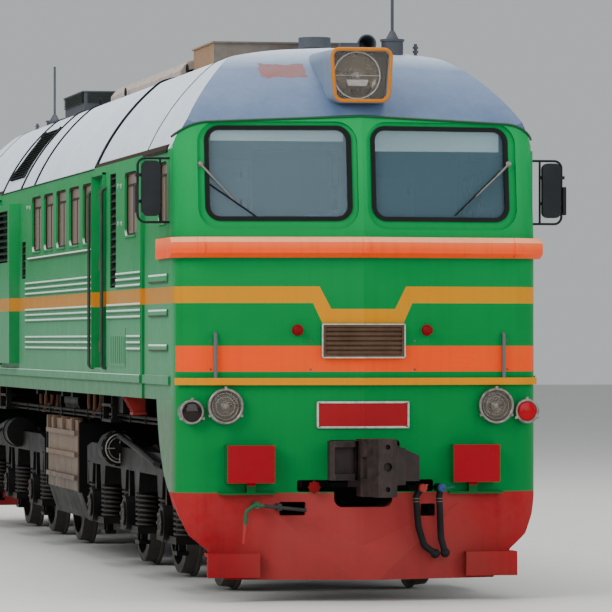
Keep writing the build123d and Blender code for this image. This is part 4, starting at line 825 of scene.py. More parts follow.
# headlamp: enamelled tube rim, round reflector in a black case behind a flat glass
headLamp = {
    "halfTop": 0.252, "halfLow": 0.224, "low": 3.917, "high": 4.345, "corner": 0.075,
    "front": 0.120, "reflector": (-0.030, 4.130, 0.186), "tube": 0.015, "bowlDepth": 0.0825,
    # outlines of its parts: drawn in by, and set behind the front
    "rimLine": (0.010, -0.022), "lining": [(0.024, -0.018), (0.004, -0.018)],
    "plate": (0.020, 0.016), "pane": (0.016, -0.006), "bowlBehind": 0.020,
    "liningDepth": 0.030, "plateDepth": 0.006, "paneDepth": 0.004, "shadeDepth": 0.006,
    # the reflector's trim: out from its radius, and inwards; then its stays' ends
    "trim": [(0.008, -0.004), (0.008, 0.010), (-0.004, 0.010), (-0.006, -0.002)],
    "opening": 0.004, "stayIn": 0.016, "stayRadius": 0.004,
    "bulb": [(0.030, 0.075), (0.030, 0.050), (0.018, 0.040), (0.016, 0.0), (0.0, -0.008)],
    # corners of the dipping shade below the bulb
    "shade": [(-0.085, -0.034), (0.095, -0.034), (0.078, -0.082), (-0.070, -0.082)],
}


def headOutline(inset, behind):
    # the lamp's outline, wider at the top, drawn in by an inset and set behind the front
    lamp = headLamp
    low, high = lamp["low"] + inset, lamp["high"] - inset
    halfLow, halfTop = lamp["halfLow"] - inset, lamp["halfTop"] - inset
    corners = [(halfTop, high), (-halfTop, high), (-halfLow, low), (halfLow, low)]
    return rounded([spot(x, lamp["front"] + behind, z) for x, z in corners],
                   lamp["corner"] - inset * 0.5, 6, closed=True)


def buildHeadlamps():
    rim, case, bowls, details, glass = (Shape() for piece in range(5))
    look = headLamp
    addTube(rim, headOutline(*look["rimLine"]), look["tube"], 12, closed=True)
    inner, outer = (headOutline(*edge) for edge in look["lining"])
    addRing(rim, inner, outer, (0, look["liningDepth"], 0))
    across, height, radius = look["reflector"]
    centre = spot(across, look["front"] + look["bowlBehind"], height)
    # black plate from the round opening out to the case's walls, its points on rays
    edge = headOutline(*look["plate"])
    wide = [a.lerp(b, share / 5) for a, b in zip(edge, edge[1:] + edge[:1]) for share in range(5)]
    hub = Vector((centre.x, edge[0].y, centre.z))
    opening = radius + look["opening"]
    addRing(case, [hub + (point - hub).normalized() * opening for point in wide], wide,
            (0, look["plateDepth"], 0))
    inward = Vector((0, 1, 0))
    bowl = arcProfile(radius, look["bowlDepth"], range(90, 9, -8))
    bowl += [(r + 0.002, d + 0.003) for r, d in bowl[::-1]]
    addLathe(bowls, bowl, centre, inward, 64, ring=True)
    trim = [(radius + out, along) for out, along in look["trim"]]
    addLathe(details, trim, centre, inward, 64, ring=True)
    addLathe(details, look["bulb"], centre, inward, 24)
    for side in (-1, 1):
        stay = ((side * radius, 0.008, 0), (side * look["stayIn"], 0.004, 0))
        addTube(details, [centre + Vector(end) for end in stay], look["stayRadius"], 8)
    shade = [centre + Vector((x, 0.004, z)) for x, z in look["shade"]]
    addSlab(details, shade, (0, look["shadeDepth"], 0))
    addSlab(glass, headOutline(*look["pane"]), (0, look["paneDepth"], 0))
    newPiece("headlamp_rims", bothEnds(rim), "rimEnamelOrange", "orange_paint")
    newPiece("headlamp_cases", bothEnds(case), "lampCaseBlack", "dark_grey_paint")
    newPiece("headlamp_bowls", bothEnds(bowls), "reflectorSilvered", "lamp_metal")
    newPiece("headlamp_details", bothEnds(details), "aluminiumStripDull", "lamp_metal", bevel=0.001)
    newPiece("headlamp_glass", bothEnds(glass), "lampGlassClear", "glass")


# what shows through the screens: blinds, cabinets, control wheels, desk instruments
cabInside = {
    "blindStation": 0.36, "blindTop": 3.730, "blinds": [(-1.17, -0.10, 3.622), (0.10, 1.17, 3.546)],
    "wallStation": 2.94, "cabinets": [(-1.02, -0.45, 3.02, 3.56), (0.45, 1.00, 2.70, 3.42)],
    # hem rod and roller of a blind: how far behind, radius, sides
    "blindDepth": 0.006, "hem": (0.003, 0.008, 8), "roller": (0.02, 0.022, 12),
    "rollerHeight": 3.725,
    # case and door of a cabinet: inset, how far before and behind the wall's station; its handles
    "cabinetBoxes": [(0.0, 0.16, 0.018), (0.03, 0.172, -0.15)],
    "handleInset": 0.15, "handle": ((-0.07, -0.19, 0.0), (-0.05, -0.17, 0.06)),
    "wheels": (-0.76, 0.76), "wheelHub": (0.82, 2.86), "rim": (0.17, 0.05, 0.16),
    "column": (0, -0.06, -0.13), "rimRadius": 0.011, "columnRadius": 0.018, "spokeRadius": 0.008,
    "desk": [((-0.40, 0.62, 2.756), (0.30, 0.78, 2.96)), ((1.02, 0.50, 2.756), (1.16, 0.62, 3.10))],
    "box": ((-0.38, 0.50, 2.756), (-0.14, 0.60, 3.040)),
}


def buildCabInside():
    blinds, cabinets, controls, box = (Shape() for piece in range(4))
    look = cabInside
    station, wall = look["blindStation"], look["wallStation"]
    for x0, x1, low in look["blinds"]:
        addBox(blinds, spot(x0, station, low),
               spot(x1, station + look["blindDepth"], look["blindTop"]))
        for height, part in ((low, "hem"), (look["rollerHeight"], "roller")):
            behind, radius, sides = look[part]
            addTube(blinds, [spot(x, station + behind, height) for x in (x0, x1)], radius, sides)
    for x0, x1, z0, z1 in look["cabinets"]:
        for inset, near, far in look["cabinetBoxes"]:
            addBox(cabinets, spot(x0 + inset, wall - near, z0 + inset),
                   spot(x1 - inset, wall + far, z1 - inset))
        for z in (z0 + look["handleInset"], z1 - look["handleInset"]):
            addBox(controls, *(spot(x1 + x, wall + y, z + up) for x, y, up in look["handle"]))
    wide, deep, tall = look["rim"]

    def onRim(hub, turn):
        return hub + Vector((math.cos(turn) * wide, math.sin(turn) * deep, math.sin(turn) * tall))

    for x in look["wheels"]:
        hub = spot(x, *look["wheelHub"])
        rim = [onRim(hub, 2 * math.pi * step / 40) for step in range(40)]
        addTube(controls, rim, look["rimRadius"], 8, closed=True)
        addTube(controls, [hub, hub + Vector(look["column"])], look["columnRadius"], 10)
        for spoke in range(3):
            end = onRim(hub, math.radians(90 + 120 * spoke))
            addTube(controls, [hub, end], look["spokeRadius"], 6)
    for low, high in look["desk"]:
        addBox(controls, spot(*low), spot(*high))
    addBox(box, *(spot(*corner) for corner in look["box"]))
    newPiece("sun_blinds", bothEnds(blinds), "blindClothPaintedGlow", "cab_lining")
    newPiece("cab_cabinets", bothEnds(cabinets), "cabinetPaintGrey", "cab_lining", bevel=0.006)
    newPiece("desk_controls", bothEnds(controls), "mirrorShellMoulded", "mirror_black", bevel=0.003)
    newPiece("desk_box", bothEnds(box), "boxPlasticBlue", "cab_lining", bevel=0.006)


# roof outline: shoulder and crown arcs, the same as the sheet's
roofShape = {"half": 1.475, "cantrail": 3.554, "shoulder": (1.170, 4.055), "haunch": (0.888, 4.332),
             "crown": 4.435, "bend": 0.058}


def arcThrough(first, middle, last, steps):
    # points on the circle through three points in a plane, from first to last
    (ax, ay), (bx, by), (cx, cy) = first, middle, last
    scale = 2 * (ax * (by - cy) + bx * (cy - ay) + cx * (ay - by))
    a, b, c = ax ** 2 + ay ** 2, bx ** 2 + by ** 2, cx ** 2 + cy ** 2
    ux = (a * (by - cy) + b * (cy - ay) + c * (ay - by)) / scale
    uy = (a * (cx - bx) + b * (ax - cx) + c * (bx - ax)) / scale
    radius = math.hypot(ax - ux, ay - uy)
    start, end = math.atan2(ay - uy, ax - ux), math.atan2(cy - uy, cx - ux)
    turns = [start + (end - start) * step / steps for step in range(steps + 1)]
    return [(ux + radius * math.cos(turn), uy + radius * math.sin(turn)) for turn in turns]


def roofLine(steps=8):
    # across the roof from the right cantrail to the left, as pairs of across and height
    across, height = roofShape["haunch"]
    foot = (roofShape["half"], roofShape["cantrail"])
    right = arcThrough(foot, roofShape["shoulder"], (across, height), steps)
    crown = arcThrough((across, height), (0.0, roofShape["crown"]), (-across, height), 2 * steps)
    path = [Vector((x, 0, z)) for x, z in right + crown[1:] + [(-x, z) for x, z in right[-2::-1]]]
    return [(p.x, p.z) for p in rounded(path, roofShape["bend"], 3)]


straps = {
    # station, width, how far it stands out
    "rows": [(1.750, 0.016, 0.006), (4.700, 0.066, 0.018), (9.060, 0.046, 0.014),
             (10.130, 0.046, 0.014), (11.740, 0.046, 0.014), (14.650, 0.016, 0.006)],
    "sunk": 0.004,
}


def buildRoofStraps():
    # covers over the joints of the roof sheets, from cantrail to cantrail
    covers = Shape()
    line = roofLine()
    for station, width, out in straps["rows"]:
        inner = [spot(x, station - width / 2, z - straps["sunk"]) for x, z in line]
        outer = []
        for index, (x, z) in enumerate(line):
            before, after = line[max(0, index - 1)], line[min(len(line) - 1, index + 1)]
            normal = Vector((after[1] - before[1], 0, before[0] - after[0])).normalized()
            outer.append(spot(x, station - width / 2, z) + normal * math.copysign(out, normal.z))
        for quad in zip(inner, inner[1:], outer[1:], outer):
            addSlab(covers, quad, (0, width, 0))
    newPiece("roof_straps", covers, "strapRubberPainted", "dark_grey_paint", smooth=50)


gutter = {
    "low": 3.540, "cab": (0.60, 4.69), "far": (11.71, 15.80), "dripOut": 0.016, "dripTall": 0.012,
    # sections: out from the wall, and height
    "seal": [(0, 3.540), (0.0084, 3.540), (0.014, 3.552), (0.0042, 3.590), (-0.030, 3.600)],
    "rail": [(0, 3.540), (0.026, 3.540), (0.026, 3.550), (0, 3.562)],
    # the lip over the screens: level part, round corner, and the arc down to the cantrail
    "level": (0.0, 0.4, 0.8, 1.19), "fall": 0.039, "corner": 1.195, "cornerRadius": 0.280,
    "cornerStation": 0.455, "arc": ((1.205, 3.757), (1.408, 3.690), (1.560, 3.500)),
    "lip": 0.011, "lipLift": 0.004,
}


def buildGutters():
    # brown sealed strip along the cab's cantrail, a thin dark drip rail behind it
    seal, drip, brow = Shape(), Shape(), Shape()
    low, lift = gutter["low"], gutter["lipLift"]

    def alongWall(shape, outline, sign, start, end):
        section = [spot(sign * (noseHalf + x), start, z) for x, z in outline]
        addSlab(shape, section, (0, end - start, 0))

    for sign in (-1, 1):
        for start, end in (gutter["cab"], gutter["far"]):
            alongWall(seal, gutter["seal"], sign, start, end)
            addBox(drip, spot(sign * noseHalf, start, low - gutter["dripTall"]),
                   spot(sign * (noseHalf + gutter["dripOut"]), end, low))
        alongWall(drip, gutter["rail"], sign, gutter["cab"][1], gutter["far"][0])
    path = [(x, noseSlope * x, screenTop - gutter["fall"] * x) for x in gutter["level"]]
    for x, z in arcThrough(*gutter["arc"], 16):
        if x > noseHalf - 0.001:
            break
        angle = math.asin(min(1.0, (x - gutter["corner"]) / gutter["cornerRadius"]))
        path.append((x, gutter["cornerStation"] - gutter["cornerRadius"] * math.cos(angle), z))
    right = [spot(x, y + max(0.0, z - visorTop) * screenLean - lift, z + lift)
             for x, y, z in path]
    left = [Vector((-p.x, p.y, p.z)) for p in right[:0:-1]]
    # the brow lip, dark green as painted shade along the brow
    addTube(brow, left + right, gutter["lip"], 8)
    newPiece("gutter_seals", seal, "sealPaintBrown", "dark_grey_paint")
    newPiece("drip_rails", drip, "strapRubberPainted", "dark_grey_paint")
    newPiece("brow_lips", bothEnds(brow), "browEnamelPaintedShade", "green_paint")


sideWindow = {
    # station from, station to, low, top, outside of the wall there
    "rows": [(0.640, 1.110, 2.973, 3.462, noseHalf), (2.133, 2.824, 2.913, 3.445, bodyHalf),
             (13.576, 14.267, 2.913, 3.445, bodyHalf), (15.290, 15.760, 2.973, 3.462, noseHalf)]
            + [(start, start + 0.713, 2.904, 3.438, bodyHalf)
               for start in (4.740 + 0.921 * index for index in range(5))],
    "pane": 0.038, "header": 0.12, "inset": 0.02,
    # inside and outside of the frame: how much less than the opening, and the corner
    "outlines": [(0.036, 0.045), (0.004, 0.068)], "depth": 0.020,
    # under the header bar, how far down from and to; the bar between two panes: half, out, below
    "ledge": (0.055, 0.035), "ledgeOut": 0.014, "headerOut": 0.006, "mullion": (0.008, 0.012, 0.04),
    # the sill's section: how far out from the wall, and down from the opening
    "sill": [(-0.028, 0.0), (0.014, -0.008), (0.014, -0.020), (-0.004, -0.020)],
    "sillInset": 0.045,
}


def wallOutline(x, station, height, wide, tall, corner):
    # a rounded rectangle on a side wall
    return [spot(x, station + a, height + b) for a, b in roundedRect(wide, tall, corner)]


def buildSideWindows():
    # a dark frame round each pane, a header bar over its sliding part, a sill below, pale from the
    # painted highlight on its top
    frames, headers, sills = Shape(), Shape(), Shape()
    look = sideWindow
    for start, end, low, top, half in look["rows"]:
        middle, height, wide, tall = (start + end) / 2, (low + top) / 2, end - start, top - low
        x, inset = half - look["pane"], look["inset"]
        inner, outer = (wallOutline(x, middle, height, wide - less, tall - less, corner)
                        for less, corner in look["outlines"])
        addRing(frames, inner, outer, (look["depth"], 0, 0))
        bar = top - look["header"] * tall
        foot, head = (bar - down for down in look["ledge"])
        for out, z0, z1 in ((look["ledgeOut"], foot, head), (look["headerOut"], head, top - inset)):
            addBox(headers, spot(x, start + inset, z0), spot(x + out, end - inset, z1))
        barHalf, out, below = look["mullion"]
        addBox(frames, spot(x, middle - barHalf, low + inset),
               spot(x + out, middle + barHalf, bar - below))
        section = [spot(half + out, start + look["sillInset"], low + down)
                   for out, down in look["sill"]]
        addSlab(sills, section, (0, wide - 2 * look["sillInset"], 0))
    newPiece("side_window_frames", mirrored(frames), "sealPaintBrown", "rubber")
    newPiece("side_window_headers", mirrored(headers), "sealPaintBrown", "dark_grey_paint")
    newPiece("side_window_sills", mirrored(sills), "sideEnamelChalked", "green_paint")


# entrance doors: where they are from nose tip to nose tip, and what each carries
door = {
    "front": (3.977, 4.669), "rear": (11.731, 12.423), "low": 1.788, "top": 3.475, "leaf": 1.448,
    "glass": (0.400, 0.520), "glassHeight": 3.130, "hinges": (1.98, 2.70, 3.32),
    # gasket's inside and outside: how much more than the glass, and the corner
    "gasket": [(-0.03, 0.05), (0.03, 0.07)], "gasketDepth": 0.007,
    # the pane: how far inwards, how much less than the glass, and the corner
    "sheet": (0.024, 0.002, 0.058), "sheetDepth": 0.006,
    "lock": (0.05, 0.12, 2.30, 2.52), "lockDepth": 0.006, "barrelAt": (0.085, 0.06),
    # hinge pins: how far out, how far before the door's end, half their length, radius
    "pin": (0.004, 0.022, 0.05, 0.009),
    "barrel": [(0.014, 0.0), (0.014, 0.012), (0.009, 0.018), (0.0, 0.019)],
}


def buildDoors():
    # on each door: window gasket and pane, lock case, hinge pins
    wide, tall = door["glass"]
    height = door["glassHeight"]
    for end in ("front", "rear"):
        for side, sign in (("left", -1), ("right", 1)):
            gasket, pane, lock = Shape(), Shape(), Shape()
            start, stop = door[end]
            middle, x = (start + stop) / 2, sign * door["leaf"]
            inner, outer = (wallOutline(x, middle, height, wide + grow, tall + grow, corner)
                            for grow, corner in door["gasket"])
            addRing(gasket, inner, outer, (sign * door["gasketDepth"], 0, 0))
            behind, less, corner = door["sheet"]
            sheet = wallOutline(x - sign * behind, middle, height, wide - less, tall - less, corner)
            addSlab(pane, sheet, (sign * door["sheetDepth"], 0, 0))
            near, far, low, high = door["lock"]
            addBox(lock, spot(x, start + near, low),
                   spot(x + sign * door["lockDepth"], start + far, high))
            along, up = door["barrelAt"]
            addLathe(lock, door["barrel"], spot(x, start + along, low + up), (sign, 0, 0), 16)
            out, before, reach, radius = door["pin"]
            for z in door["hinges"]:
                pin = [spot(x + sign * out, stop - before, z + up) for up in (-reach, reach)]
                addTube(lock, pin, radius, 10)
            body = f"door_{end}_{side}"
            newPiece(body + "_gasket", gasket, "gasketRubberMoulded", "rubber", body)
            newPiece(body + "_pane", pane, "sideGlassDusty", "glass", body)
            newPiece(body + "_lock", lock, "boltSteelRusted", "handrail_metal", body, bevel=0.001)


sideTrim = {
    "out": 0.028, "wide": 0.018, "sunk": 0.002, "before": 0.022, "after": 0.004, "above": 0.02,
    "joints": (1.862, 14.520), "jointHeights": (1.75, 3.54), "jointOut": 0.008,
    # station and height
    "hooks": [(3.007, 3.341), (2.991, 3.021), (9.274, 3.343), (13.393, 3.341)],
    "hook": [(0.024, 0.0), (0.024, 0.006), (0.012, 0.010), (0.012, 0.022), (0.020, 0.026),
             (0.020, 0.034), (0.0, 0.038)],
}


def buildSideTrim():
    # thin door frames, vertical joint strips and lamp hooks
    strips, hooks = Shape(), Shape()
    wide, top = sideTrim["wide"], door["top"]

    def strip(start, end, low, high, out):
        addBox(strips, spot(bodyHalf - sideTrim["sunk"], start, low),
               spot(bodyHalf + out, end, high))

    out, before = sideTrim["out"], sideTrim["before"]
    for start, end in (door["front"], door["rear"]):
        for station in (start - before, end + sideTrim["after"]):
            strip(station, station + wide, door["low"], top + sideTrim["above"], out)
        strip(start - before, end + before, top, top + wide, out)
    for station in sideTrim["joints"]:
        strip(station, station + wide, *sideTrim["jointHeights"], sideTrim["jointOut"])
    for station, height in sideTrim["hooks"]:
        addLathe(hooks, sideTrim["hook"], spot(bodyHalf, station, height), (1, 0, 0), 16)
    newPiece("side_strips", mirrored(strips), "sideEnamelChalked", "green_paint")
    newPiece("lamp_hooks", mirrored(hooks), "hookPaintPale", "handrail_metal")


# lifting rings beside the hatch, slatted skirt and lid of the fan box
roofGear = {
    "across": 0.735, "height": 4.368, "stations": (4.23, 7.98, 9.71), "radius": 0.042,
    "thick": 0.007, "lift": 0.050, "pad": ((-0.03, -0.03, -0.03), (0.03, 0.03, 0.012)),
    "slats": 7, "slatLow": 4.440, "slatPitch": 0.016, "slatTall": 0.007, "lid": (4.548, 4.560),
    # across from and to, station from and to
    "slatRows": [(-0.828, -0.850, 10.24, 11.64), (0.828, 0.850, 10.24, 11.64),
                 (-0.80, 0.80, 10.180, 10.202)],
    "lidBars": [(-0.60, -0.850, 10.19, 11.69), (0.60, 0.850, 10.19, 11.69),
                (-0.60, 0.60, 10.19, 10.26), (-0.60, 0.60, 11.45, 11.52)],
}


def buildRoofGear():
    eyes, skirt, lid = Shape(), Shape(), Shape()
    for station in roofGear["stations"]:
        base = spot(roofGear["across"], station, roofGear["height"])
        centre = base + Vector((0, 0, roofGear["lift"]))
        ring = circleOf(centre, roofGear["radius"], (1, 0, 0), 24)
        addTube(eyes, ring, roofGear["thick"], 8, closed=True)
        addBox(eyes, *(base + Vector(corner) for corner in roofGear["pad"]))
    for index in range(roofGear["slats"]):
        low = roofGear["slatLow"] + index * roofGear["slatPitch"]
        for x0, x1, start, end in roofGear["slatRows"]:
            addBox(skirt, spot(x0, start, low), spot(x1, end, low + roofGear["slatTall"]))
    for x0, x1, start, end in roofGear["lidBars"]:
        addBox(lid, spot(x0, start, roofGear["lid"][0]), spot(x1, end, roofGear["lid"][1]))
    newPiece("lifting_rings", mirrored(eyes), "strapRubberPainted", "handrail_metal")
    newPiece("fan_box_slats", skirt, "louvrePaintDusty", "louvre_dark")
    newPiece("fan_box_lid", lid, "roofGearPaintGrey", "dark_grey_paint")


# Geometry Nodes: a tree works on a mesh of bare points, each with a facing direction
def newTree(name, **inputs):
    tree = bpy.data.node_groups.new(name, "GeometryNodeTree")
    inputs = {"Points": "Geometry", **inputs, "Finish": "Material"}
    for label, kind in inputs.items():
        tree.interface.new_socket(label, in_out="INPUT", socket_type="NodeSocket" + kind)
    tree.interface.new_socket("Geometry", in_out="OUTPUT", socket_type="NodeSocketGeometry")
    add = partial(addNode, tree)
    return tree, add, add("NodeGroupInput").outputs


def closeTree(add, given, shape, turn):
    # the shape on every point, turned, made real and given its finish
    copies = add("GeometryNodeInstanceOnPoints",
                 {"Points": given["Points"], "Instance": shape, "Rotation": turn})
    real = add("GeometryNodeRealizeInstances", {"Geometry": copies})
    painted = add("GeometryNodeSetMaterial", {"Geometry": real, "Material": given["Finish"]})
    add("NodeGroupOutput", {"Geometry": painted})


def coilTree():
    tree, add, given = newTree("coilSprings", Turns="Float", CoilRadius="Float", WireRadius="Float",
                               Height="Float")
    spiral = add("GeometryNodeCurveSpiral", {
        "Resolution": 20, "Rotations": given["Turns"], "Start Radius": given["CoilRadius"],
        "End Radius": given["CoilRadius"], "Height": given["Height"]})
    ring = add("GeometryNodeCurvePrimitiveCircle", {"Resolution": 8, "Radius": given["WireRadius"]})
    wire = add("GeometryNodeCurveToMesh",
               {"Curve": spiral, "Profile Curve": ring, "Fill Caps": True})
    closeTree(add, given, wire, (0.0, 0.0, 0.0))
    return tree


def boltTree():
    # hexagon head on a washer, its z along the point's facing, spun round it by chance
    tree, add, given = newTree("hexagonBolts", Radius="Float", Depth="Float", Seed="Int")
    head = add("GeometryNodeMeshCylinder",
               {"Vertices": 6, "Radius": given["Radius"], "Depth": given["Depth"]})
    wide = add("MULTIPLY", given["Radius"], 1.45)
    thin = add("MULTIPLY", given["Depth"], 0.35)
    washer = add("GeometryNodeMeshCylinder", {"Vertices": 18, "Radius": wide, "Depth": thin})
    both = add("GeometryNodeJoinGeometry")
    for part in (washer, head):
        setInputs(both, {0: part})
    facing = add("GeometryNodeInputNamedAttribute", {"Name": "facing"}, data_type="FLOAT_VECTOR")
    spin = add("FunctionNodeRandomValue", {"Max": (0.0, 0.0, 2 * math.pi), "Seed": given["Seed"]},
               data_type="FLOAT_VECTOR")
    turn = add("FunctionNodeAlignRotationToVector", {"Rotation": spin, "Vector": facing})
    closeTree(add, given, both, turn)
    return tree


def grown(name, tree, points, values, finish, slot, body="body"):
    # runs the tree on the points and keeps the plain mesh
    cloud = bpy.data.meshes.new(name + "_points")
    cloud.from_pydata([place for place, toward in points], [], [])
    facing = cloud.attributes.new("facing", "FLOAT_VECTOR", "POINT")
    facing.data.foreach_set("vector", [part for place, toward in points for part in toward])
    holder = bpy.data.objects.new(name + "_points", cloud)
    bpy.context.scene.collection.objects.link(holder)
    modifier = holder.modifiers.new(name, "NODES")
    modifier.node_group = tree
    values = dict(values, Finish=finishes[finish])
    for item in tree.interface.items_tree:
        if item.in_out == "INPUT" and item.name in values:
            modifier[item.identifier] = values[item.name]
    graph = bpy.context.evaluated_depsgraph_get()
    mesh = bpy.data.meshes.new_from_object(holder.evaluated_get(graph))
    holder.modifiers.remove(modifier)
    bpy.data.objects.remove(holder)
    bpy.data.meshes.remove(cloud)
    mesh.name = name
    placed(name, mesh, body, slot, 35)


bogie = {
    # body's name, middle of the bogie from the middle of the locomotive, and the way inwards
    "ends": [("bogie_front", -4.3, 1), ("bogie_rear", 4.3, -1)],
    "axles": (-2.1, 0.0, 2.1),
    # across, height above the rail, and how far along from the axle
    "spring": (1.205, 0.432), "springAlong": (-0.400, 0.400),
    "springSizes": {"Turns": 7.0, "CoilRadius": 0.088, "WireRadius": 0.0105, "Height": 0.290},
    "drum": (1.300, 1.078), "drumFace": 0.568, "hub": (1.358, 0.525), "hubBolts": (0.080, 6),
    "drumBolts": (0.142, 10), "boltSizes": {"Radius": 0.012, "Depth": 0.022, "Seed": 5},
    # rings and spokes on the drum's face: how far out, radius, thickness
    "rims": [(0.012, 0.124, 0.007, 8), (0.006, 0.098, 0.004, 6)],
    "spokes": ((0.020, 0.044), (0.010, 0.124)), "spokeRadius": 0.005, "drumBoltsIn": 0.034,
}


def buildBogies(bolts):
    coils = coilTree()
    look = bogie
    for body, middle, inward in look["ends"]:
        feet, heads, rims = [], [], Shape()
        outward = Vector((0, -inward, 0))
        for sign in (-1, 1):
            across, height = look["spring"]
            feet += [((sign * across, middle + axle + along, height + railTop), (0, 0, 1))
                     for axle in look["axles"] for along in look["springAlong"]]
            across, height = look["hub"]
            rounds = [(Vector((sign * across, middle + axle, height + railTop)),
                       look["hubBolts"], (sign, 0, 0)) for axle in look["axles"]]
            across, height = look["drum"]
            drum = Vector((sign * across, middle + inward * look["drumFace"], height + railTop))
            rounds.append((drum - outward * look["drumBoltsIn"], look["drumBolts"], outward))
            for centre, (radius, count), facing in rounds:
                heads += [(point, facing) for point in circleOf(centre, radius, facing, count)]
            # raised rings and spokes on the drum's face; their bright steel is partly a painted
            # highlight on the rim
            for out, radius, thick, sides in look["rims"]:
                ring = circleOf(drum + outward * out, radius, outward)
                addTube(rims, ring, thick, sides, closed=True)
            ends = [circleOf(drum + outward * out, radius, outward, 4)
                    for out, radius in look["spokes"]]
            for spoke in zip(*ends):
                addTube(rims, spoke, look["spokeRadius"], 6)
        for name, tree, points, sizes, finish in (
                ("_springs", coils, feet, "springSizes", "springSteelDusty"),
                ("_bolts", bolts, heads, "boltSizes", "boltSteelRusted")):
            grown(body + name, tree, points, look[sizes], finish, "black_frame", body)
        newPiece(body + "_drum_rims", rims, "wiperSteelBrushed", "black_frame", body)


# air pipes clipped under the sill
sill = {
    "pipes": [(1.318, 1.375, 0.015), (1.318, 1.335, 0.010)],
    "from": 1.60, "to": 14.80, "clipPitch": 0.90, "clipStart": 0.2,
    "clip": ((1.296, 0.0, 1.318), (1.338, 0.028, 1.396)),
}


def buildSillPipes():
    pipes = Shape()
    for across, z, radius in sill["pipes"]:
        addTube(pipes, [spot(across, sill["from"], z), spot(across, sill["to"], z)], radius, 10)
    for index in range(int((sill["to"] - sill["from"]) / sill["clipPitch"]) + 1):
        station = sill["from"] + sill["clipStart"] + index * sill["clipPitch"]
        addBox(pipes, *(spot(x, station + along, z) for x, along, z in sill["clip"]))
    newPiece("sill_pipes", mirrored(pipes), "motorCastOily", "black_frame")


# where the noses' screws sit: across, heights, how far out
screws = {
    "plate": ((-0.352, 0.352), (1.352, 1.533), 0.019),
    "stripe": ((-1.20, -0.42, 0.42, 1.20), (2.026, 1.800), 0.001),
    "sizes": {"Radius": 0.006, "Depth": 0.006, "Seed": 3},
}


def buildNoseScrews(bolts):
    heads = []
    for end in (-1, 1):
        for row in ("plate", "stripe"):
            acrosses, heights, out = screws[row]
            for across in acrosses:
                for height in heights:
                    place = noseFace(across, height, out)
                    heads.append(((place.x * -end, place.y * -end, place.z), (0, end, 0)))
    grown("nose_screws", bolts, heads, screws["sizes"], "boltSteelRusted", "handrail_metal")


hoseHead = {
    # across of each cock on the nose, its finish, and which way its handle points
    "cocks": [(0.452, "cockEnamelRed", (0.030, 0.0, 0.028)),
              (0.606, "cockEnamelBlue", (0.090, 0.0, 0.006))],
    "height": 0.866, "station": -0.095, "hoseStation": -0.058, "stem": 0.032,
    # the handle's corners from its root and from its tip, its thickness
    "rootCorners": [(-0.012, 0, -0.010), (0.012, 0, -0.010)],
    "tipCorners": [(0.010, 0, 0), (-0.006, 0, 0.006)], "handleDepth": 0.012, "bandGap": 0.012,
    "cock": [(0.0, 0.030), (0.022, 0.030), (0.034, 0.020), (0.036, 0.0), (0.034, -0.020)],
    "bands": [(0.404, 0.770), (0.592, 0.770), (0.560, 0.352), (0.640, 0.358)],
    "band": [(0.024, -0.005), (0.030, -0.004), (0.030, 0.004), (0.024, 0.005)],
}


def buildHoseHeads():
    look = hoseHead
    for index, (x, finish, reach) in enumerate(look["cocks"]):
        cock = Shape()
        centre = spot(x, look["station"], look["height"])
        addLathe(cock, look["cock"], centre, (0, -1, 0), 8)
        stem = Vector((0, -look["stem"], 0))
        handle = [centre + stem + Vector(corner) for corner in look["rootCorners"]]
        handle += [centre + Vector(reach) + stem + Vector(corner) for corner in look["tipCorners"]]
        addSlab(cock, handle, (0, look["handleDepth"], 0))
        newPiece(f"hose_cock_{index + 1}", bothEnds(cock), finish, "rubber", bevel=0.002)
    bands = Shape()
    for x, z in look["bands"]:
        for offset in (-look["bandGap"], look["bandGap"]):
            place = spot(x, look["hoseStation"], z + offset)
            addLathe(bands, look["band"], place, (0, 0, 1), 20, ring=True)
    newPiece("hose_bands", bothEnds(bands), "boltSteelRusted", "rubber")


# raised covers over the joints of the visor: height and how far out, along its section
visorStrip = {"across": (-1.290, 0.0, 1.265), "half": 0.024, "proud": (0.001, 0.014),
              "profile": [(2.683, 0.060), (2.719, 0.105), (2.805, 0.105), (2.845, 0.060)]}


def buildVisorStrips():
    # each strip in two halves, so that it can fold with the visor
    strips = Shape()
    inner, outer = visorStrip["proud"]
    for x in visorStrip["across"]:
        for edge in (x - visorStrip["half"], x + visorStrip["half"]):
            corners = [(x, inner), (edge, inner), (edge, outer), (x, outer)]
            strips.loft([[noseFace(across, height, out + proud) for across, proud in corners]
                         for height, out in visorStrip["profile"]])
    newPiece("visor_joint_covers", bothEnds(strips), "visorEnamelSprayed", "orange_paint")


buildWipers()
buildNosePlates()
buildKnobs()
buildNoseLamps()
buildHeadlamps()
buildCabInside()
print("front pieces made")
buildRoofStraps()
buildGutters()
buildSideWindows()
buildDoors()
buildSideTrim()
buildRoofGear()
print("side and roof pieces made")
bolts = boltTree()
buildBogies(bolts)
buildSillPipes()
buildNoseScrews(bolts)
buildHoseHeads()
buildVisorStrips()
print("running gear pieces made")

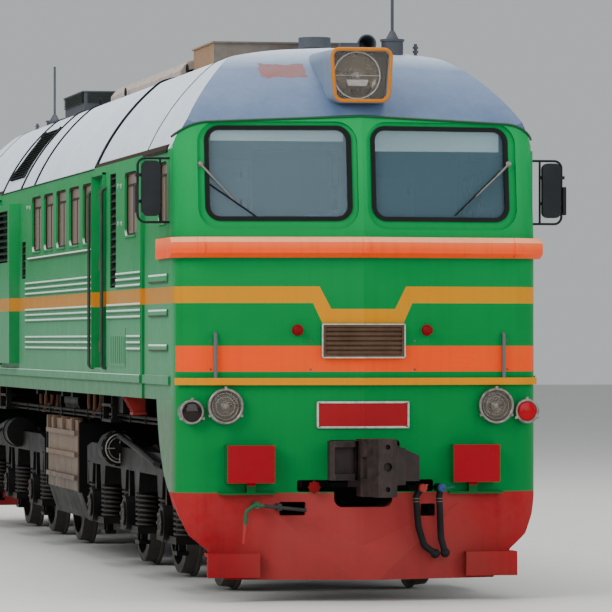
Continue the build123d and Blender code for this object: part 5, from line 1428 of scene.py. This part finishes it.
# stage: pale floor, soft light, camera at the photo's angle
stage = {
    "floorHalf": 160, "floor": ("c9c8c4", "d3d2ce"), "air": "e8edf0", "airStrength": 0.6,
    "eye": (-6.905, -42.4, 2.053), "yaw": 10.66, "pitch": 0.4536, "lens": 260.06, "sensor": 36.0,
    # place, target, size, power
    "key": ((-30, -22, 24), (0, -4, 2), 22, 10500), "front": ((4, -46, 12), (0, -8, 2), 20, 3800),
    "fill": ((26, -24, 14), (0, -6, 2), 20, 3000), "top": ((0, 2, 26), (0, 2, 2), 24, 8000),
}


def addHolder(name, data, place=(0, 0, 0), turn=(0, 0, 0)):
    holder = bpy.data.objects.new(name, data)
    holder.location, holder.rotation_euler = place, turn
    bpy.context.scene.collection.objects.link(holder)
    return holder


half = stage["floorHalf"]
floorMesh = bpy.data.meshes.new("floor")
corners = [(-half, -half, 0), (half, -half, 0), (half, half, 0), (-half, half, 0)]
floorMesh.from_pydata(corners, [], [(0, 1, 2, 3)])
add, shader, floorSpot, at, facing = newMaterial("studioFloorPainted")
grain = add("TexNoise", {"Vector": floorSpot, "Scale": 3.0, "Detail": 6.0})
setInputs(shader, {"Base Color": add("MixRGB", grain, *stage["floor"]), "Roughness": 0.75})
floorMesh.materials.append(finishes["studioFloorPainted"])
addHolder("floor", floorMesh)

world = bpy.data.worlds.new("studioAir")
bpy.context.scene.world = world
world.use_nodes = True
setInputs(world.node_tree.nodes["Background"], {0: stage["air"], 1: stage["airStrength"]})

for name in ("key", "front", "fill", "top"):
    place, target, size, power = stage[name]
    lamp = bpy.data.lights.new(name, "AREA")
    lamp.size, lamp.energy = size, power
    aim = (Vector(target) - Vector(place)).to_track_quat("-Z", "Y")
    addHolder(name, lamp, place, aim.to_euler())

eye = bpy.data.cameras.new("eye")
eye.lens, eye.sensor_width, eye.clip_end = stage["lens"], stage["sensor"], 600
turn = (math.radians(90 + stage["pitch"]), 0, math.radians(-stage["yaw"]))
bpy.context.scene.camera = addHolder("eye", eye, stage["eye"], turn)
print("stage set")
